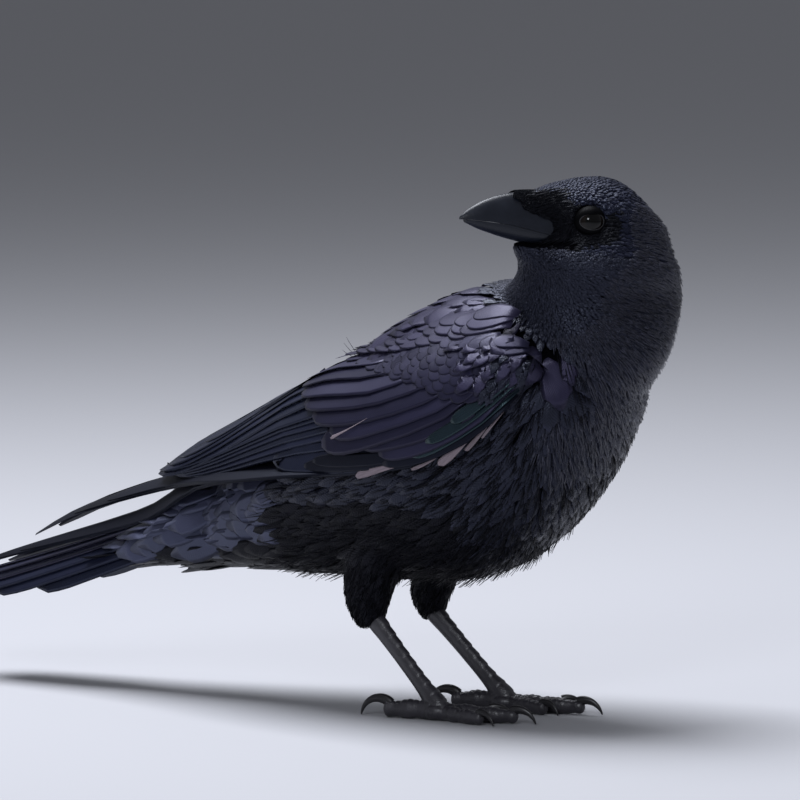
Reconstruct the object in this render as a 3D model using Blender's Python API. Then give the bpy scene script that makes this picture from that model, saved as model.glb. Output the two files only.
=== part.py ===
"""A life-size crow, standing and looking back over its right shoulder, for Blender 4.5.

The body faces +X, its left side is +Y, and it stands on z = 0. Sizes are in millimetres in the
tables and are turned into metres by MM. The flesh is lofted in overlapping masses, melted into one
skin and parted into head, neck and trunk by thin cuts; feathers, legs, toes, claws, bill and eyes
are solids of their own that stop a hair's breadth short of their neighbours.
"""

from math import cos, pi, radians, sin, sqrt

import bmesh
import bpy
import numpy as np
from mathutils import Matrix, Vector

MM = 0.001
GAP = 0.32  # clearance left between two solids that touch

# ---- driving dimensions, in mm ----
HALF_STANCE = 22.0  # from the midline to each foot
FOOT_STAGGER = 2.6  # the left foot stands this far ahead of the middle, the right one behind
EYE_LEVEL = 219.5  # height over the floor that the head is measured from
HEAD_AT = (58.7, -4.0)  # where the head's own tables are measured from, seen from above
HEAD_TURN = -120.0  # degrees from straight ahead, towards the right shoulder
EYE_AT = (1.8, -1.1)  # the eyes, ahead of that point and above it
EYE_SPREAD = 12.9  # from the midline of the head to the middle of each eyeball
EYE_RADIUS = 6.6

# ---- the flesh: rows of sizes along each mass ----
# Upright slices of the trunk: x, lowest point, highest point, half width, height of the widest point.
TRUNK = (
    (-184, 53, 60, 8, 0.5),
    (-170, 54, 69, 16, 0.5),
    (-153, 56.5, 79, 21.5, 0.5),
    (-138, 57.5, 89, 25, 0.5),
    (-118, 57, 104, 29, 0.5),
    (-95, 57.3, 121, 36, 0.50),
    (-68, 57.8, 143.5, 43.5, 0.49),
    (-42, 58, 165, 49, 0.48),
    (-15, 58.3, 180.5, 53, 0.47),
    (10, 61, 189.5, 53.5, 0.47),
    (34, 70.5, 191, 50.5, 0.48),
    (54, 88, 184, 43.8, 0.50),
    (68.5, 107, 171, 33.8, 0.52),
    (78.5, 128, 156, 20.5, 0.52),
    (83.8, 141, 144, 3, 0.50),
)
# Level slices of the neck: z, x and y of the middle, half length along the long axis, half width,
# and the direction of the long axis, which turns from the body's to the head's.
NECK = (
    (128, 50, 0, 27, 27, 0),
    (143, 54.8, 0.6, 30.0, 30.5, 8),
    (158, 58.2, 2.1, 35.0, 32.8, 25),
    (172, 59.0, 4.9, 37.4, 32.6, 42),
    (186, 57.8, 7.8, 39.4, 31.0, 56),
    (196, 63.2, 4.8, 36.0, 28.5, 60),
    (205, 62.6, 2.4, 34.5, 24.5, 60),
    (212, 64.0, 5.2, 30.5, 21.0, 60),
    (219, 64.5, 6.4, 24.0, 17.0, 60),
    (225, 64.5, 6.4, 12.0, 9.0, 60),
)
# Slices of the head, from the nape to the face: distance ahead of the head's middle, lowest and
# highest point against it, half width, height of the widest point.
HEAD = (
    (-42, -22, -11, 5, 0.5),
    (-38, -24, -5, 12, 0.5),
    (-32, -25, 3, 16.5, 0.5),
    (-25, -25, 10.3, 19.0, 0.5),
    (-16, -24, 16.1, 20.2, 0.52),
    (-7, -23, 17.4, 18.9, 0.54),
    (2, -22, 16.9, 16.4, 0.55),
    (9, -20, 15.7, 13.6, 0.56),
    (15, -15.5, 14.6, 10.5, 0.6),
    (18.5, -9.0, 13.0, 6.5, 0.65),
)
# The stiff bristles laid over the root of the bill.
BRISTLES = (
    (4, -4, 16.0, 9.0, 0.45),
    (12, -3.0, 15.0, 9.6, 0.40),
    (19, -1.8, 13.0, 8.9, 0.35),
    (25, 0.0, 11.6, 7.8, 0.30),
    (30, 2.4, 10.9, 5.9, 0.30),
    (33, 5.4, 10.4, 2.6, 0.40),
)
# The feathered chin and the ruffled throat under the bill.
CHIN = (
    (2, -26, -9, 10.0, 0.5),
    (12, -26, -9.6, 11.0, 0.55),
    (20, -25, -9.4, 10.0, 0.6),
    (26, -21, -8.8, 8.0, 0.65),
    (30, -15, -8.6, 5.0, 0.7),
    (33, -10.5, -8.9, 2.0, 0.7),
)
# The bill: distance ahead of the head's middle, culmen, cutting edge, keel, half width.
BILL = (
    (8, 9.4, -9.0, -14.6, 8.2),
    (14, 10.3, -7.9, -13.3, 8.0),
    (21, 10.8, -6.0, -12.0, 7.4),
    (28, 10.8, -4.1, -10.4, 6.6),
    (35, 10.2, -2.3, -8.5, 5.6),
    (42, 8.8, -1.1, -6.2, 4.4),
    (49, 6.2, -0.2, -3.5, 3.1),
    (53.8, 3.7, 0.3, -1.2, 1.7),
    (56.6, 1.6, 0.4, 0.1, 0.6),
)
LOWER_BILL_STOPS = 54.3
BILL_LINE = 0.35  # the thin line between the closed halves of the bill

# ---- the right wing: the sheet of its upper surface, by slices from the shoulder to the tips ----
WING_UPPER_EDGE = (  # x, y, z
    (63, -38, 160),
    (50, -39, 170),
    (20, -38, 169.5),
    (-16, -31, 162),
    (-52, -12, 154.5),
    (-78, -3.6, 144.2),
    (-117, -3.0, 124.0),
    (-140, -3.0, 112.6),
    (-158, -4.5, 101.3),
)
WING_LOWER_EDGE = (
    (63, -40, 154),
    (55, -48, 142),
    (42, -54, 127.5),
    (24, -57.5, 116.5),
    (-8, -59, 109),
    (-40, -55, 105),
    (-78, -47, 102.0),
    (-106, -37, 98.5),
    (-140, -25, 93.5),
    (-158, -18, 91.0),
)
WING_BULGE = ((63, 1.5), (50, 5), (20, 8), (-16, 10), (-52, 14), (-85, 11), (-120, 7), (-158, 3.5))
# Each layer in rows from front to back: x, then where the layer starts and stops across the sheet,
# where 0 is the upper edge and 1 the lower.
COVERT_LAYER = ((63, 0.06, 0.97), (30, 0.02, 1.0), (-20, 0.22, 1.0), (-74, 0.86, 0.97))
SECONDARY_LAYER = ((44, 0.02, 0.86), (0, 0.0, 0.9), (-60, 0.0, 0.9), (-106, 0.0, 0.86), (-142, 0.0, 0.82),
                   (-154, 0.0, 0.60), (-160, 0.02, 0.28))
# Each layer's lower and upper face, against the sheet. What a layer rests on is cut out of it.
COVERT_FACES = (-9.0, 5.0)
SECONDARY_FACES = (-14.0, 0.8)
WING_CHORD = 60.0  # rough distance across the sheet
RIM_FACE = -2.6  # the lower face rises to this height at a layer's rims
THIN_ALONG = (-62.0, -100.0)  # and all across between these two places, where the trunk falls away

# The quills of the folded hand, outermost last: tip, half width, how far the vane leans outwards.
QUILL_PATH = ((-16, -50.5, 112), (-60, -46, 109), (-95, -38, 104.5), (-130, -26, 97.5))
PRIMARIES = (
    ((-196, -8.2, 84.2), 6.8, 36),
    ((-216, -9.0, 75.2), 6.8, 36),
    ((-232, -10.0, 66.0), 6.6, 38),
    ((-252, -12.5, 55.0), 6.6, 44),
    ((-264, -15.0, 50.0), 6.2, 48),
)
QUILL_THICK = 1.8
QUILL_STEP = 1.5  # each quill lies this far under the one before it

# ---- the tail: twelve quills folded over one another into an arch ----
TAIL_RIDGE = ((-108, 98.5), (-126, 92.0), (-165, 79.0), (-210, 64.5), (-270, 46.8))
TAIL_HALF_WIDTH = ((-108, 14), (-140, 18.5), (-190, 23), (-270, 23.5))
TAIL_DROP = 23.5  # how far the arch would fall at a quarter turn
TAIL_TURN = 80.0  # degrees of arch on either side of the ridge
TAIL_GRADE = 44.0  # the outermost quill is this much shorter than the middle pair
TAIL_THICK = (4.6, 2.2)  # at the ridge and at the sides

# ---- the legs ----
ANKLE = (-34.6, 20.0, 40.5)
ANKLE_STAGGER = 1.7  # the left ankle is this far ahead of the middle
SHANK_END = 0.8  # the shank's lower end, ahead of the middle of the ball of the foot
THIGH = (  # the trouser of feathers: x, y, z, half length, half width
    (-20, 24, 90, 20, 15),
    (-27, 22.5, 72, 17, 13.5),
    (-33.2, 20.8, 57, 12.2, 10.2),
    (-34.6, 20.4, 49, 10.2, 8.4),
    (-34.6, 20.1, 42.0, 7.0, 5.6),
    (-34.0, 20.0, 38.2, 4.9, 4.0),
)
SHANK = (  # share of the way down, half depth, half width
    (-0.12, 3.4, 3.0),
    (0.0, 4.3, 3.5),
    (0.14, 4.0, 3.0),
    (0.48, 3.6, 2.7),
    (0.80, 4.0, 3.1),
    (0.94, 4.9, 4.0),
    (1.05, 4.6, 3.9),
)
FOOT_TURN = 10.0  # degrees that both feet are turned to the bird's left
# Toes: heading against the foot's in degrees (outwards is positive), length of the toe and of the
# claw along its curve, and the toe's radius.
TOES = {
    "hallux": (180.0, 24.5, 18.5, 4.0),
    "inner": (-21.0, 25.0, 12.5, 3.2),
    "middle": (0.0, 37.5, 14.0, 3.5),
    "outer": (22.0, 27.5, 12.0, 3.1),
}
CLAW_BEND = {"hallux": (40.0, -84.0)}  # slope at the root and at the point, in degrees
FRONT_CLAW_BEND = (22.0, -72.0)
CLAW_ROOT = 0.54  # half depth of a claw at its root, as a share of the toe's radius
CLAW_POINT_HEIGHT = 0.55  # the middle of the point over the floor
TOE_START = 2.0  # from the middle of the ball of the foot

SEGMENTS = 24
FLESH_VOXEL = 1.9
FLESH_FACES = 2100

MATERIALS = {
    "plumage": ((0.018, 0.018, 0.024), 0.55, 0.0),
    "quills": ((0.014, 0.015, 0.022), 0.42, 0.0),
    "horn": ((0.022, 0.023, 0.028), 0.33, 0.0),
    "leg_scale": ((0.035, 0.034, 0.038), 0.42, 0.0),
    "eye": ((0.012, 0.008, 0.006), 0.08, 0.0),
}


def material(name):
    """The named finish, made once."""
    found = bpy.data.materials.get(name)
    if found:
        return found
    colour, roughness, metallic = MATERIALS[name]
    made = bpy.data.materials.new(name)
    made.use_nodes = True
    shader = made.node_tree.nodes["Principled BSDF"]
    shader.inputs["Base Color"].default_value = (*colour, 1.0)
    shader.inputs["Roughness"].default_value = roughness
    shader.inputs["Metallic"].default_value = metallic
    return made


def through(keys, at):
    """Rows read from a smooth curve through the keys, whose first column is the position."""
    rows = np.array(sorted(keys), float)
    x = rows[:, 0]
    slopes = np.gradient(rows, x, axis=0)
    at = np.atleast_1d(np.asarray(at, float))
    i = np.clip(np.searchsorted(x, at) - 1, 0, len(x) - 2)
    h = (x[i + 1] - x[i])[:, None]
    t = ((at - x[i])[:, None]) / h
    t = np.clip(t, 0.0, 1.0)
    return (
        rows[i] * (2 * t**3 - 3 * t**2 + 1)
        + slopes[i] * h * (t**3 - 2 * t**2 + t)
        + rows[i + 1] * (3 * t**2 - 2 * t**3)
        + slopes[i + 1] * h * (t**3 - t**2)
    )


def mesh_object(name, mesh, finish):
    """A linked object with this mesh and finish, shaded smooth but for its sharp edges."""
    made = bpy.data.objects.new(name, mesh)
    bpy.context.scene.collection.objects.link(made)
    mesh.materials.clear()
    mesh.materials.append(material(finish))
    mesh.shade_smooth()
    mesh.set_sharp_from_angle(angle=radians(50))
    return made


def loft(rings):
    """A closed bmesh skinned over rings of equal length, in mm, and capped at both ends."""
    bm = bmesh.new()
    loops = [[bm.verts.new(Vector(p) * MM) for p in ring] for ring in rings]
    for one, two in zip(loops, loops[1:]):
        for k in range(len(one)):
            n = (k + 1) % len(one)
            bm.faces.new((one[k], one[n], two[n], two[k]))
    bm.faces.new(loops[0][::-1])
    bm.faces.new(loops[-1])
    bmesh.ops.recalc_face_normals(bm, faces=bm.faces)
    return bm


def as_mesh(name, bm):
    mesh = bpy.data.meshes.new(name)
    bmesh.ops.triangulate(bm, faces=[f for f in bm.faces if len(f.verts) > 4])
    bm.to_mesh(mesh)
    bm.free()
    return mesh


def slice_ring(low, high, half_width, widest, place, count=SEGMENTS):
    """An egg-shaped slice from its lowest to its highest point. place(side, height) sets each point."""
    middle = low + (high - low) * widest
    ring = []
    for k in range(count):
        angle = 2 * pi * k / count
        reach = high - middle if sin(angle) > 0 else middle - low
        ring.append(place(half_width * cos(angle), middle + reach * sin(angle)))
    return ring


def head_frame():
    """Matrix from the head's own axes (ahead, left, up, in mm from between the eyes) to the body's."""
    turn = Matrix.Rotation(radians(HEAD_TURN), 4, "Z")
    return Matrix.Translation((HEAD_AT[0], HEAD_AT[1], EYE_LEVEL)) @ turn


def trunk_mass():
    stations = np.concatenate((np.linspace(-184, 60, 30), 60 + 26 * np.sin(np.linspace(0.14, 1, 9) * pi / 2)))
    rows = through(TRUNK, stations)
    return loft([slice_ring(*row[1:5], lambda s, h, x=row[0]: (x, s, h)) for row in rows])


def neck_mass():
    rings = []
    for z, x, y, long, wide, heading in through(NECK, np.linspace(128, 225, 24)):
        ahead = Vector((cos(radians(heading)), sin(radians(heading)), 0))
        aside = Vector((-ahead.y, ahead.x, 0))
        middle = Vector((x, y, z))
        rings.append([
            middle + ahead * long * cos(2 * pi * k / SEGMENTS) + aside * wide * sin(2 * pi * k / SEGMENTS)
            for k in range(SEGMENTS)
        ])
    return loft(rings)


def head_mass(keys, count):
    frame = head_frame()
    rows = through(keys, np.linspace(keys[0][0], keys[-1][0], count))
    return loft([
        slice_ring(*row[1:5], lambda s, h, f=row[0]: frame @ Vector((f, s, h)), 20) for row in rows
    ])


def melted(name, masses, voxel, faces, smoothing):
    """One closed mesh in place of overlapping masses: remeshed, smoothed and thinned to about faces."""
    joined = bpy.data.meshes.new(name)
    whole = bmesh.new()
    for bm in masses:
        piece = as_mesh("mass", bm)
        whole.from_mesh(piece)
        bpy.data.meshes.remove(piece)
    whole.to_mesh(joined)
    whole.free()
    made = bpy.data.objects.new(name, joined)
    bpy.context.scene.collection.objects.link(made)
    remesh = made.modifiers.new("melt", "REMESH")
    remesh.mode = "VOXEL"
    remesh.voxel_size = voxel * MM
    ease = made.modifiers.new("ease", "SMOOTH")
    ease.factor = 0.5
    ease.iterations = smoothing
    full = len(evaluated(made).polygons) * 2
    thin = made.modifiers.new("thin", "DECIMATE")
    thin.ratio = faces / full
    mesh = evaluated(made)
    bpy.data.objects.remove(made)
    return mesh


def evaluated(obj):
    """A new mesh: the object as its modifiers leave it."""
    bpy.context.view_layer.update()
    graph = bpy.context.evaluated_depsgraph_get()
    return bpy.data.meshes.new_from_object(obj.evaluated_get(graph))


def kept_side(mesh, cuts):
    """A copy of mesh cut by planes (point in mm, normal), with what lies on the normal's side removed."""
    bm = bmesh.new()
    bm.from_mesh(mesh)
    for point, normal in cuts:
        geometry = bm.verts[:] + bm.edges[:] + bm.faces[:]
        found = bmesh.ops.bisect_plane(
            bm, geom=geometry, dist=1e-7, plane_co=Vector(point) * MM, plane_no=Vector(normal), clear_outer=True
        )
        rim = [e for e in found["geom_cut"] if isinstance(e, bmesh.types.BMEdge)]
        bmesh.ops.holes_fill(bm, edges=rim, sides=0)
    bmesh.ops.triangulate(bm, faces=bm.faces)
    made = bpy.data.meshes.new("cut")
    bm.to_mesh(made)
    bm.free()
    return made


def cutter(name, mesh):
    """A hidden object that only serves to cut others."""
    made = bpy.data.objects.new(name, mesh)
    bpy.context.scene.collection.objects.link(made)
    made.hide_render = True
    made.display_type = "WIRE"
    return made


def swollen(name, mesh, by):
    """A cutter: the mesh grown by some mm along its normals."""
    grown = mesh.copy()
    bm = bmesh.new()
    bm.from_mesh(grown)
    bm.normal_update()
    shifts = [v.normal * by * MM for v in bm.verts]
    for v, shift in zip(bm.verts, shifts):
        v.co += shift
    bm.to_mesh(grown)
    bm.free()
    return cutter(name, grown)


def cut_by(obj, *tools):
    """Takes each cutter out of the object. The exact solver loses some of these curved shells whole."""
    for tool in tools:
        cut = obj.modifiers.new("clear_" + tool.name, "BOOLEAN")
        cut.operation = "DIFFERENCE"
        cut.solver = "MANIFOLD"
        cut.object = tool
    return obj


def box_size(points):
    """The diagonal of the points' box."""
    spread = np.array(points)
    return float(np.linalg.norm(spread.max(0) - spread.min(0)))


def largest_body(obj):
    """The object with its modifiers applied and only its biggest loose body kept."""
    mesh = evaluated(obj)
    obj.modifiers.clear()
    bm = bmesh.new()
    bm.from_mesh(mesh)
    bmesh.ops.remove_doubles(bm, verts=bm.verts, dist=0.002 * MM)
    bodies, seen = [], set()
    for start in bm.verts:
        if start in seen:
            continue
        body, todo = [], [start]
        seen.add(start)
        while todo:
            v = todo.pop()
            body.append(v)
            for edge in v.link_edges:
                other = edge.other_vert(v)
                if other not in seen:
                    seen.add(other)
                    todo.append(other)
        bodies.append(body)
    bodies.sort(key=lambda body: box_size([v.co for v in body]))
    bmesh.ops.delete(bm, geom=[v for body in bodies[:-1] for v in body], context="VERTS")
    bm.to_mesh(mesh)
    bm.free()
    finish = obj.data.materials[0]
    obj.data = mesh
    mesh.materials.clear()
    mesh.materials.append(finish)
    mesh.set_sharp_from_angle(angle=radians(50))
    return obj


def mirrored(mesh):
    """The mesh of the other side, with its faces still pointing out."""
    made = mesh.copy()
    bm = bmesh.new()
    bm.from_mesh(made)
    bmesh.ops.scale(bm, vec=(1, -1, 1), verts=bm.verts)
    bmesh.ops.reverse_faces(bm, faces=bm.faces)
    bm.to_mesh(made)
    bm.free()
    return made


# ---- wings ----
def wing_point(x, across, height):
    """A point of the right wing's sheet: across runs from its upper to its lower edge, height is outwards."""
    def edge(keys):
        return Vector(through(keys, x)[0][1:3])
    upper, lower = edge(WING_UPPER_EDGE), edge(WING_LOWER_EDGE)
    bulge = through(WING_BULGE, x)[0][1]
    chord = lower - upper
    outward = Vector((chord.y, -chord.x)).normalized()
    control = (upper + lower) / 2 + outward * bulge * 2
    t = across
    spot = upper * (1 - t) ** 2 + control * 2 * t * (1 - t) + lower * t**2
    along = ((control - upper) * (1 - t) + (lower - control) * t).normalized()
    normal = Vector((along.y, -along.x))
    spot += normal * height
    return Vector((x, spot.x, spot.y))


def wing_layer(layer, faces, stations, grow=0.0, across=7):
    """A solid on the wing's sheet from its lower to its upper face, thinner towards its rims.

    A layer that is grown by some mm is the cutter which keeps its neighbours clear of it."""
    low, high = faces
    places = np.linspace(layer[0][0], layer[-1][0], stations)
    thin_from, thin_at = THIN_ALONG
    rings = []
    for x in places:
        shift = Vector((grow if x == places[0] else -grow if x == places[-1] else 0.0, 0, 0))
        start, stop = through(layer, x)[0][1:3]
        start, stop = start - grow / WING_CHORD, stop + grow / WING_CHORD
        outer, inner = [], []
        for t in np.linspace(start, stop, across):
            rim = min(t - start, stop - t) / max(stop - start, 1e-6)
            body = min(1.0, rim * 4)
            top = high - (1 - body) * 0.6 * (high - RIM_FACE)
            bottom = RIM_FACE + (low - RIM_FACE) * body * min(1.0, max(0.0, (x - thin_at) / (thin_from - thin_at)))
            outer.append(wing_point(x, t, top + grow) + shift)
            inner.append(wing_point(x, t, bottom - grow) + shift)
        rings.append(outer + inner[::-1])
    return loft(rings)


def vane(path, half_width, lean, thick, blunt=0.5):
    """A quill's vane along a path of points in mm. lean, in degrees, tips its face outwards (-Y side down).

    blunt is where along the vane its width starts to close towards the tip."""
    path = [Vector(p) for p in path]
    count = len(path)
    rings = []
    for k, spot in enumerate(path):
        share = k / (count - 1)
        ahead = (path[min(k + 1, count - 1)] - path[max(k - 1, 0)]).normalized()
        level = Vector((0, -1, 0))
        side = (level - ahead * level.dot(ahead)).normalized()
        side = Matrix.Rotation(radians(lean), 3, ahead) @ side
        face = side.cross(ahead).normalized()
        close = max(0.0, (share - blunt) / (1 - blunt))
        width = half_width * (0.55 + 0.45 * min(1.0, share * 3)) * sqrt(max(0.02, 1 - close**2.2))
        depth = thick * (1 - 0.4 * share)
        rings.append([
            spot + side * width * s + face * depth * h for s, h in ((-1, 0.5), (1, 0.5), (1, -0.5), (-1, -0.5))
        ])
    return loft(rings)


def curve_points(points, count):
    """count points spaced along a smooth curve through a few, by their own distance."""
    points = [Vector(p) for p in points]
    gone = [0.0]
    for a, b in zip(points, points[1:]):
        gone.append(gone[-1] + (b - a).length)
    keys = [(d, *p) for d, p in zip(gone, points)]
    return [Vector(row[1:4]) for row in through(keys, np.linspace(0, gone[-1], count))]


def united(name, parts, finish):
    """One object from overlapping solids, joined by exact Booleans."""
    base = mesh_object(name, as_mesh(name, parts[0]), finish)
    for k, bm in enumerate(parts[1:]):
        tool = bpy.data.objects.new(f"{name}_tool_{k}", as_mesh("tool", bm))
        bpy.context.scene.collection.objects.link(tool)
        join = base.modifiers.new("join", "BOOLEAN")
        join.operation = "UNION"
        join.solver = "EXACT"
        join.object = tool
        mesh = evaluated(base)
        base.modifiers.clear()
        base.data = mesh
        bpy.data.objects.remove(tool)
    return base


def primary_quills():
    """The outer quills of the right wing, each a little longer and lower than the one above it."""
    vanes = []
    for k, (tip, half_width, lean) in enumerate(PRIMARIES):
        drop = Vector((0, 0.5, -0.8)) * QUILL_STEP * k
        route = [Vector(p) + drop for p in QUILL_PATH]
        middle = (route[-1] + Vector(tip)) / 2 + Vector((0, 0, 1.6 - 0.3 * k))
        vanes.append(vane(curve_points([*route, middle, tip], 7), half_width, -lean, QUILL_THICK, 0.72))
    return vanes


# ---- tail ----
def tail_fan(rows=7, columns=11):
    """The folded tail: an arched slab whose end is rounded, since each quill outwards is shorter."""
    root, tip = TAIL_RIDGE[0][0], TAIL_RIDGE[-1][0]
    rings = []
    for along in np.linspace(0, 1, rows):
        upper, lower = [], []
        for side in np.linspace(-1, 1, columns):
            x = root + (tip + TAIL_GRADE * abs(side) ** 1.7 - root) * along
            turn = radians(TAIL_TURN) * side
            thick = TAIL_THICK[0] + (TAIL_THICK[1] - TAIL_THICK[0]) * abs(side)
            thick *= 1 - 0.35 * along**2
            ridge = through(TAIL_RIDGE, x)[0][1]
            wide = through(TAIL_HALF_WIDTH, x)[0][1]
            upper.append(Vector((x, wide * sin(turn), ridge - TAIL_DROP * (1 - cos(turn)))))
            wide, drop = wide - thick, TAIL_DROP - thick
            lower.append(Vector((x, wide * sin(turn), ridge - thick - drop * (1 - cos(turn)))))
        rings.append(upper + lower[::-1])
    return loft(rings)


# ---- legs ----
def shank(ball):
    """The scaly lower leg, from inside the trouser to inside the ball of the foot."""
    side_y = 1 if ball.y > 0 else -1
    top = Vector((ANKLE[0] + ANKLE_STAGGER * side_y, ANKLE[1] * side_y, ANKLE[2]))
    run = Vector((ball.x + SHANK_END, ball.y, 5.2)) - top
    ahead = run.normalized()
    side = Vector((0, 1, 0))
    fore = side.cross(ahead).normalized()
    rings = []
    for share, depth, width in through(SHANK, np.linspace(-0.12, 1.05, 8)):
        middle = top + run * share
        rings.append([
            middle + fore * depth * cos(2 * pi * k / 10) + side * width * sin(2 * pi * k / 10) for k in range(10)
        ])
    return loft(rings)


def foot_pad(ball):
    """The ball of the foot, where the toes meet."""
    pad = bmesh.new()
    bmesh.ops.create_uvsphere(pad, u_segments=12, v_segments=8, radius=1.0)
    bmesh.ops.scale(pad, vec=Vector((6.6, 5.8, 4.4)) * MM, verts=pad.verts)
    bmesh.ops.translate(pad, vec=Vector((ball.x, ball.y, 3.7)) * MM, verts=pad.verts)
    return pad


def toe(ball, heading, length, radius, joints):
    """One toe with its joints' swellings, from the ball of the foot to the root of the claw."""
    ahead = Vector((cos(heading), sin(heading), 0))
    side = Vector((-ahead.y, ahead.x, 0))
    rings = []
    for share in np.linspace(0, 1, 2 * joints + 1):
        swell = 1 + 0.09 * cos(2 * pi * joints * share)
        taper = 1.08 - 0.22 * share
        r = radius * swell * taper
        lift = 0.8 * share**3
        middle = ball + ahead * (TOE_START + (length - TOE_START) * share)
        middle.z = 0.90 * radius * taper + lift
        rings.append([
            middle + side * r * 0.95 * cos(2 * pi * k / 8) + Vector((0, 0, r * sin(2 * pi * k / 8)))
            for k in range(8)
        ])
    return loft(rings)


def claw(ball, heading, toe_length, length, radius, bend):
    """A curved claw: an evenly bent, tapering arc that leaves the toe rising and comes down to the floor."""
    ahead = Vector((cos(heading), sin(heading), 0))
    side = Vector((-ahead.y, ahead.x, 0))
    up = Vector((0, 0, 1))
    steps = 5
    slopes = [radians(bend[0] + (bend[1] - bend[0]) * k / steps) for k in range(steps + 1)]
    spots = [Vector()]
    for one, two in zip(slopes, slopes[1:]):
        middle = (one + two) / 2
        spots.append(spots[-1] + (ahead * cos(middle) + up * sin(middle)) * length / steps)
    root = ball + ahead * (toe_length - 1.2)
    root.z = CLAW_POINT_HEIGHT - spots[-1].z
    rings = []
    for k, (slope, spot) in enumerate(zip(slopes, spots)):
        r = radius * CLAW_ROOT * (1 - 0.8 * (k / steps) ** 1.3)
        across = up * cos(slope) - ahead * sin(slope)
        rings.append([
            root + spot + side * r * 0.75 * cos(2 * pi * n / 6) + across * r * sin(2 * pi * n / 6) for n in range(6)
        ])
    return loft(rings)


def toe_heading(turn, side):
    """The way a toe points, in radians from straight ahead, on the left (side 1) or right (-1) foot."""
    return radians(turn * side + FOOT_TURN)


def foot_ball(side):
    """The middle of the ball of a foot on the floor, for the left foot (side 1) or the right (-1)."""
    return Vector((FOOT_STAGGER * side, HALF_STANCE * side, 0))


# ---- the bill and the eyes ----
def bill_half(upper):
    """One half of the bill: a ridge and two sides down to the cutting edge, or the keel under it."""
    frame = head_frame()
    end = BILL[-1][0] if upper else LOWER_BILL_STOPS
    rings = []
    for f, culmen, edge, keel, wide in through(BILL, np.linspace(BILL[0][0], end, 12)):
        ring = []
        for k in range(12):
            angle = pi * k / 11
            rise = max(sin(angle), 0.0)
            if upper:
                depth = max(culmen - edge - BILL_LINE / 2, 0.25)
                side = wide * cos(angle) * (1 - 0.20 * rise**3)
                height = edge + BILL_LINE / 2 + depth * rise**0.92
            else:
                depth = max(edge - keel - BILL_LINE / 2, 0.25)
                side = 0.93 * wide * cos(angle) * (1 - 0.10 * rise**3)
                height = edge - BILL_LINE / 2 - depth * rise**0.8
            ring.append(frame @ Vector((f, side, height)))
        rings.append(ring)
    return loft(rings)


def eyeball(side):
    bm = bmesh.new()
    bmesh.ops.create_uvsphere(bm, u_segments=14, v_segments=8, radius=EYE_RADIUS * MM)
    bmesh.ops.rotate(bm, cent=(0, 0, 0), matrix=Matrix.Rotation(pi / 2, 3, "X"), verts=bm.verts)
    turn = head_frame().to_3x3()
    bmesh.ops.transform(bm, matrix=turn, verts=bm.verts)
    spot = head_frame() @ Vector((EYE_AT[0], side * EYE_SPREAD, EYE_AT[1]))
    bmesh.ops.translate(bm, vec=spot * MM, verts=bm.verts)
    return as_mesh("eye", bm)


# ---- the whole bird ----
def build_body():
    """Head, neck and trunk, parted by two thin cuts. Returns the three meshes."""
    masses = [trunk_mass(), neck_mass(), head_mass(HEAD, 16), head_mass(BRISTLES, 8), head_mass(CHIN, 9)]
    flesh = melted("flesh", masses, FLESH_VOXEL, FLESH_FACES, 5)
    collar_at, collar = Vector((19, 0, 189)), Vector((0.454, 0, 0.891)).normalized()
    throat_at, throat = Vector((HEAD_AT[0], HEAD_AT[1], EYE_LEVEL - 14.5)), Vector((0.05, 0.09, 1)).normalized()
    half = GAP / 2
    head = kept_side(flesh, [(throat_at + throat * half, -throat)])
    neck = kept_side(flesh, [(throat_at - throat * half, throat), (collar_at + collar * half, -collar)])
    trunk = kept_side(flesh, [(collar_at - collar * half, collar)])
    bpy.data.meshes.remove(flesh)
    return head, neck, trunk


def build_head(head):
    """The head with its sockets, the two halves of the bill and the eyes."""
    eyes = {side: eyeball(side) for side in (1, -1)}
    skull = mesh_object("head", head, "plumage")
    sockets = [swollen("socket_left", eyes[1], GAP), swollen("socket_right", eyes[-1], GAP)]
    cover = swollen("face_cutter", head, GAP * 1.2)
    for name, upper in (("bill_upper", True), ("bill_lower", False)):
        half = mesh_object(name, as_mesh(name, bill_half(upper)), "horn")
        largest_body(cut_by(half, cover))
    largest_body(cut_by(skull, *sockets))
    mesh_object("eye_left", eyes[1], "eye")
    mesh_object("eye_right", eyes[-1], "eye")


def build_wings(off_body):
    """Three layers of feathers for each wing, hollowed where they lie on the body and on each other."""
    layers = (
        ("secondaries", SECONDARY_LAYER, SECONDARY_FACES, 12, "quills"),
        ("coverts", COVERT_LAYER, COVERT_FACES, 9, "plumage"),
    )
    hand = united("hand", primary_quills(), "quills")
    for side, turned in (("right", lambda mesh: mesh.copy()), ("left", mirrored)):
        clear = list(off_body)
        for name, layer, faces, stations, finish in layers:
            solid = turned(as_mesh(name, wing_layer(layer, faces, stations)))
            largest_body(cut_by(mesh_object(f"wing_{side}_{name}", solid, finish), *clear))
            grown = turned(as_mesh(name, wing_layer(layer, faces, stations, GAP * 1.8)))
            clear.append(cutter(f"{name}_cutter_{side}", grown))
        largest_body(cut_by(mesh_object(f"wing_{side}_primaries", turned(hand.data), "quills"), *clear))
    bpy.data.objects.remove(hand)


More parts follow.
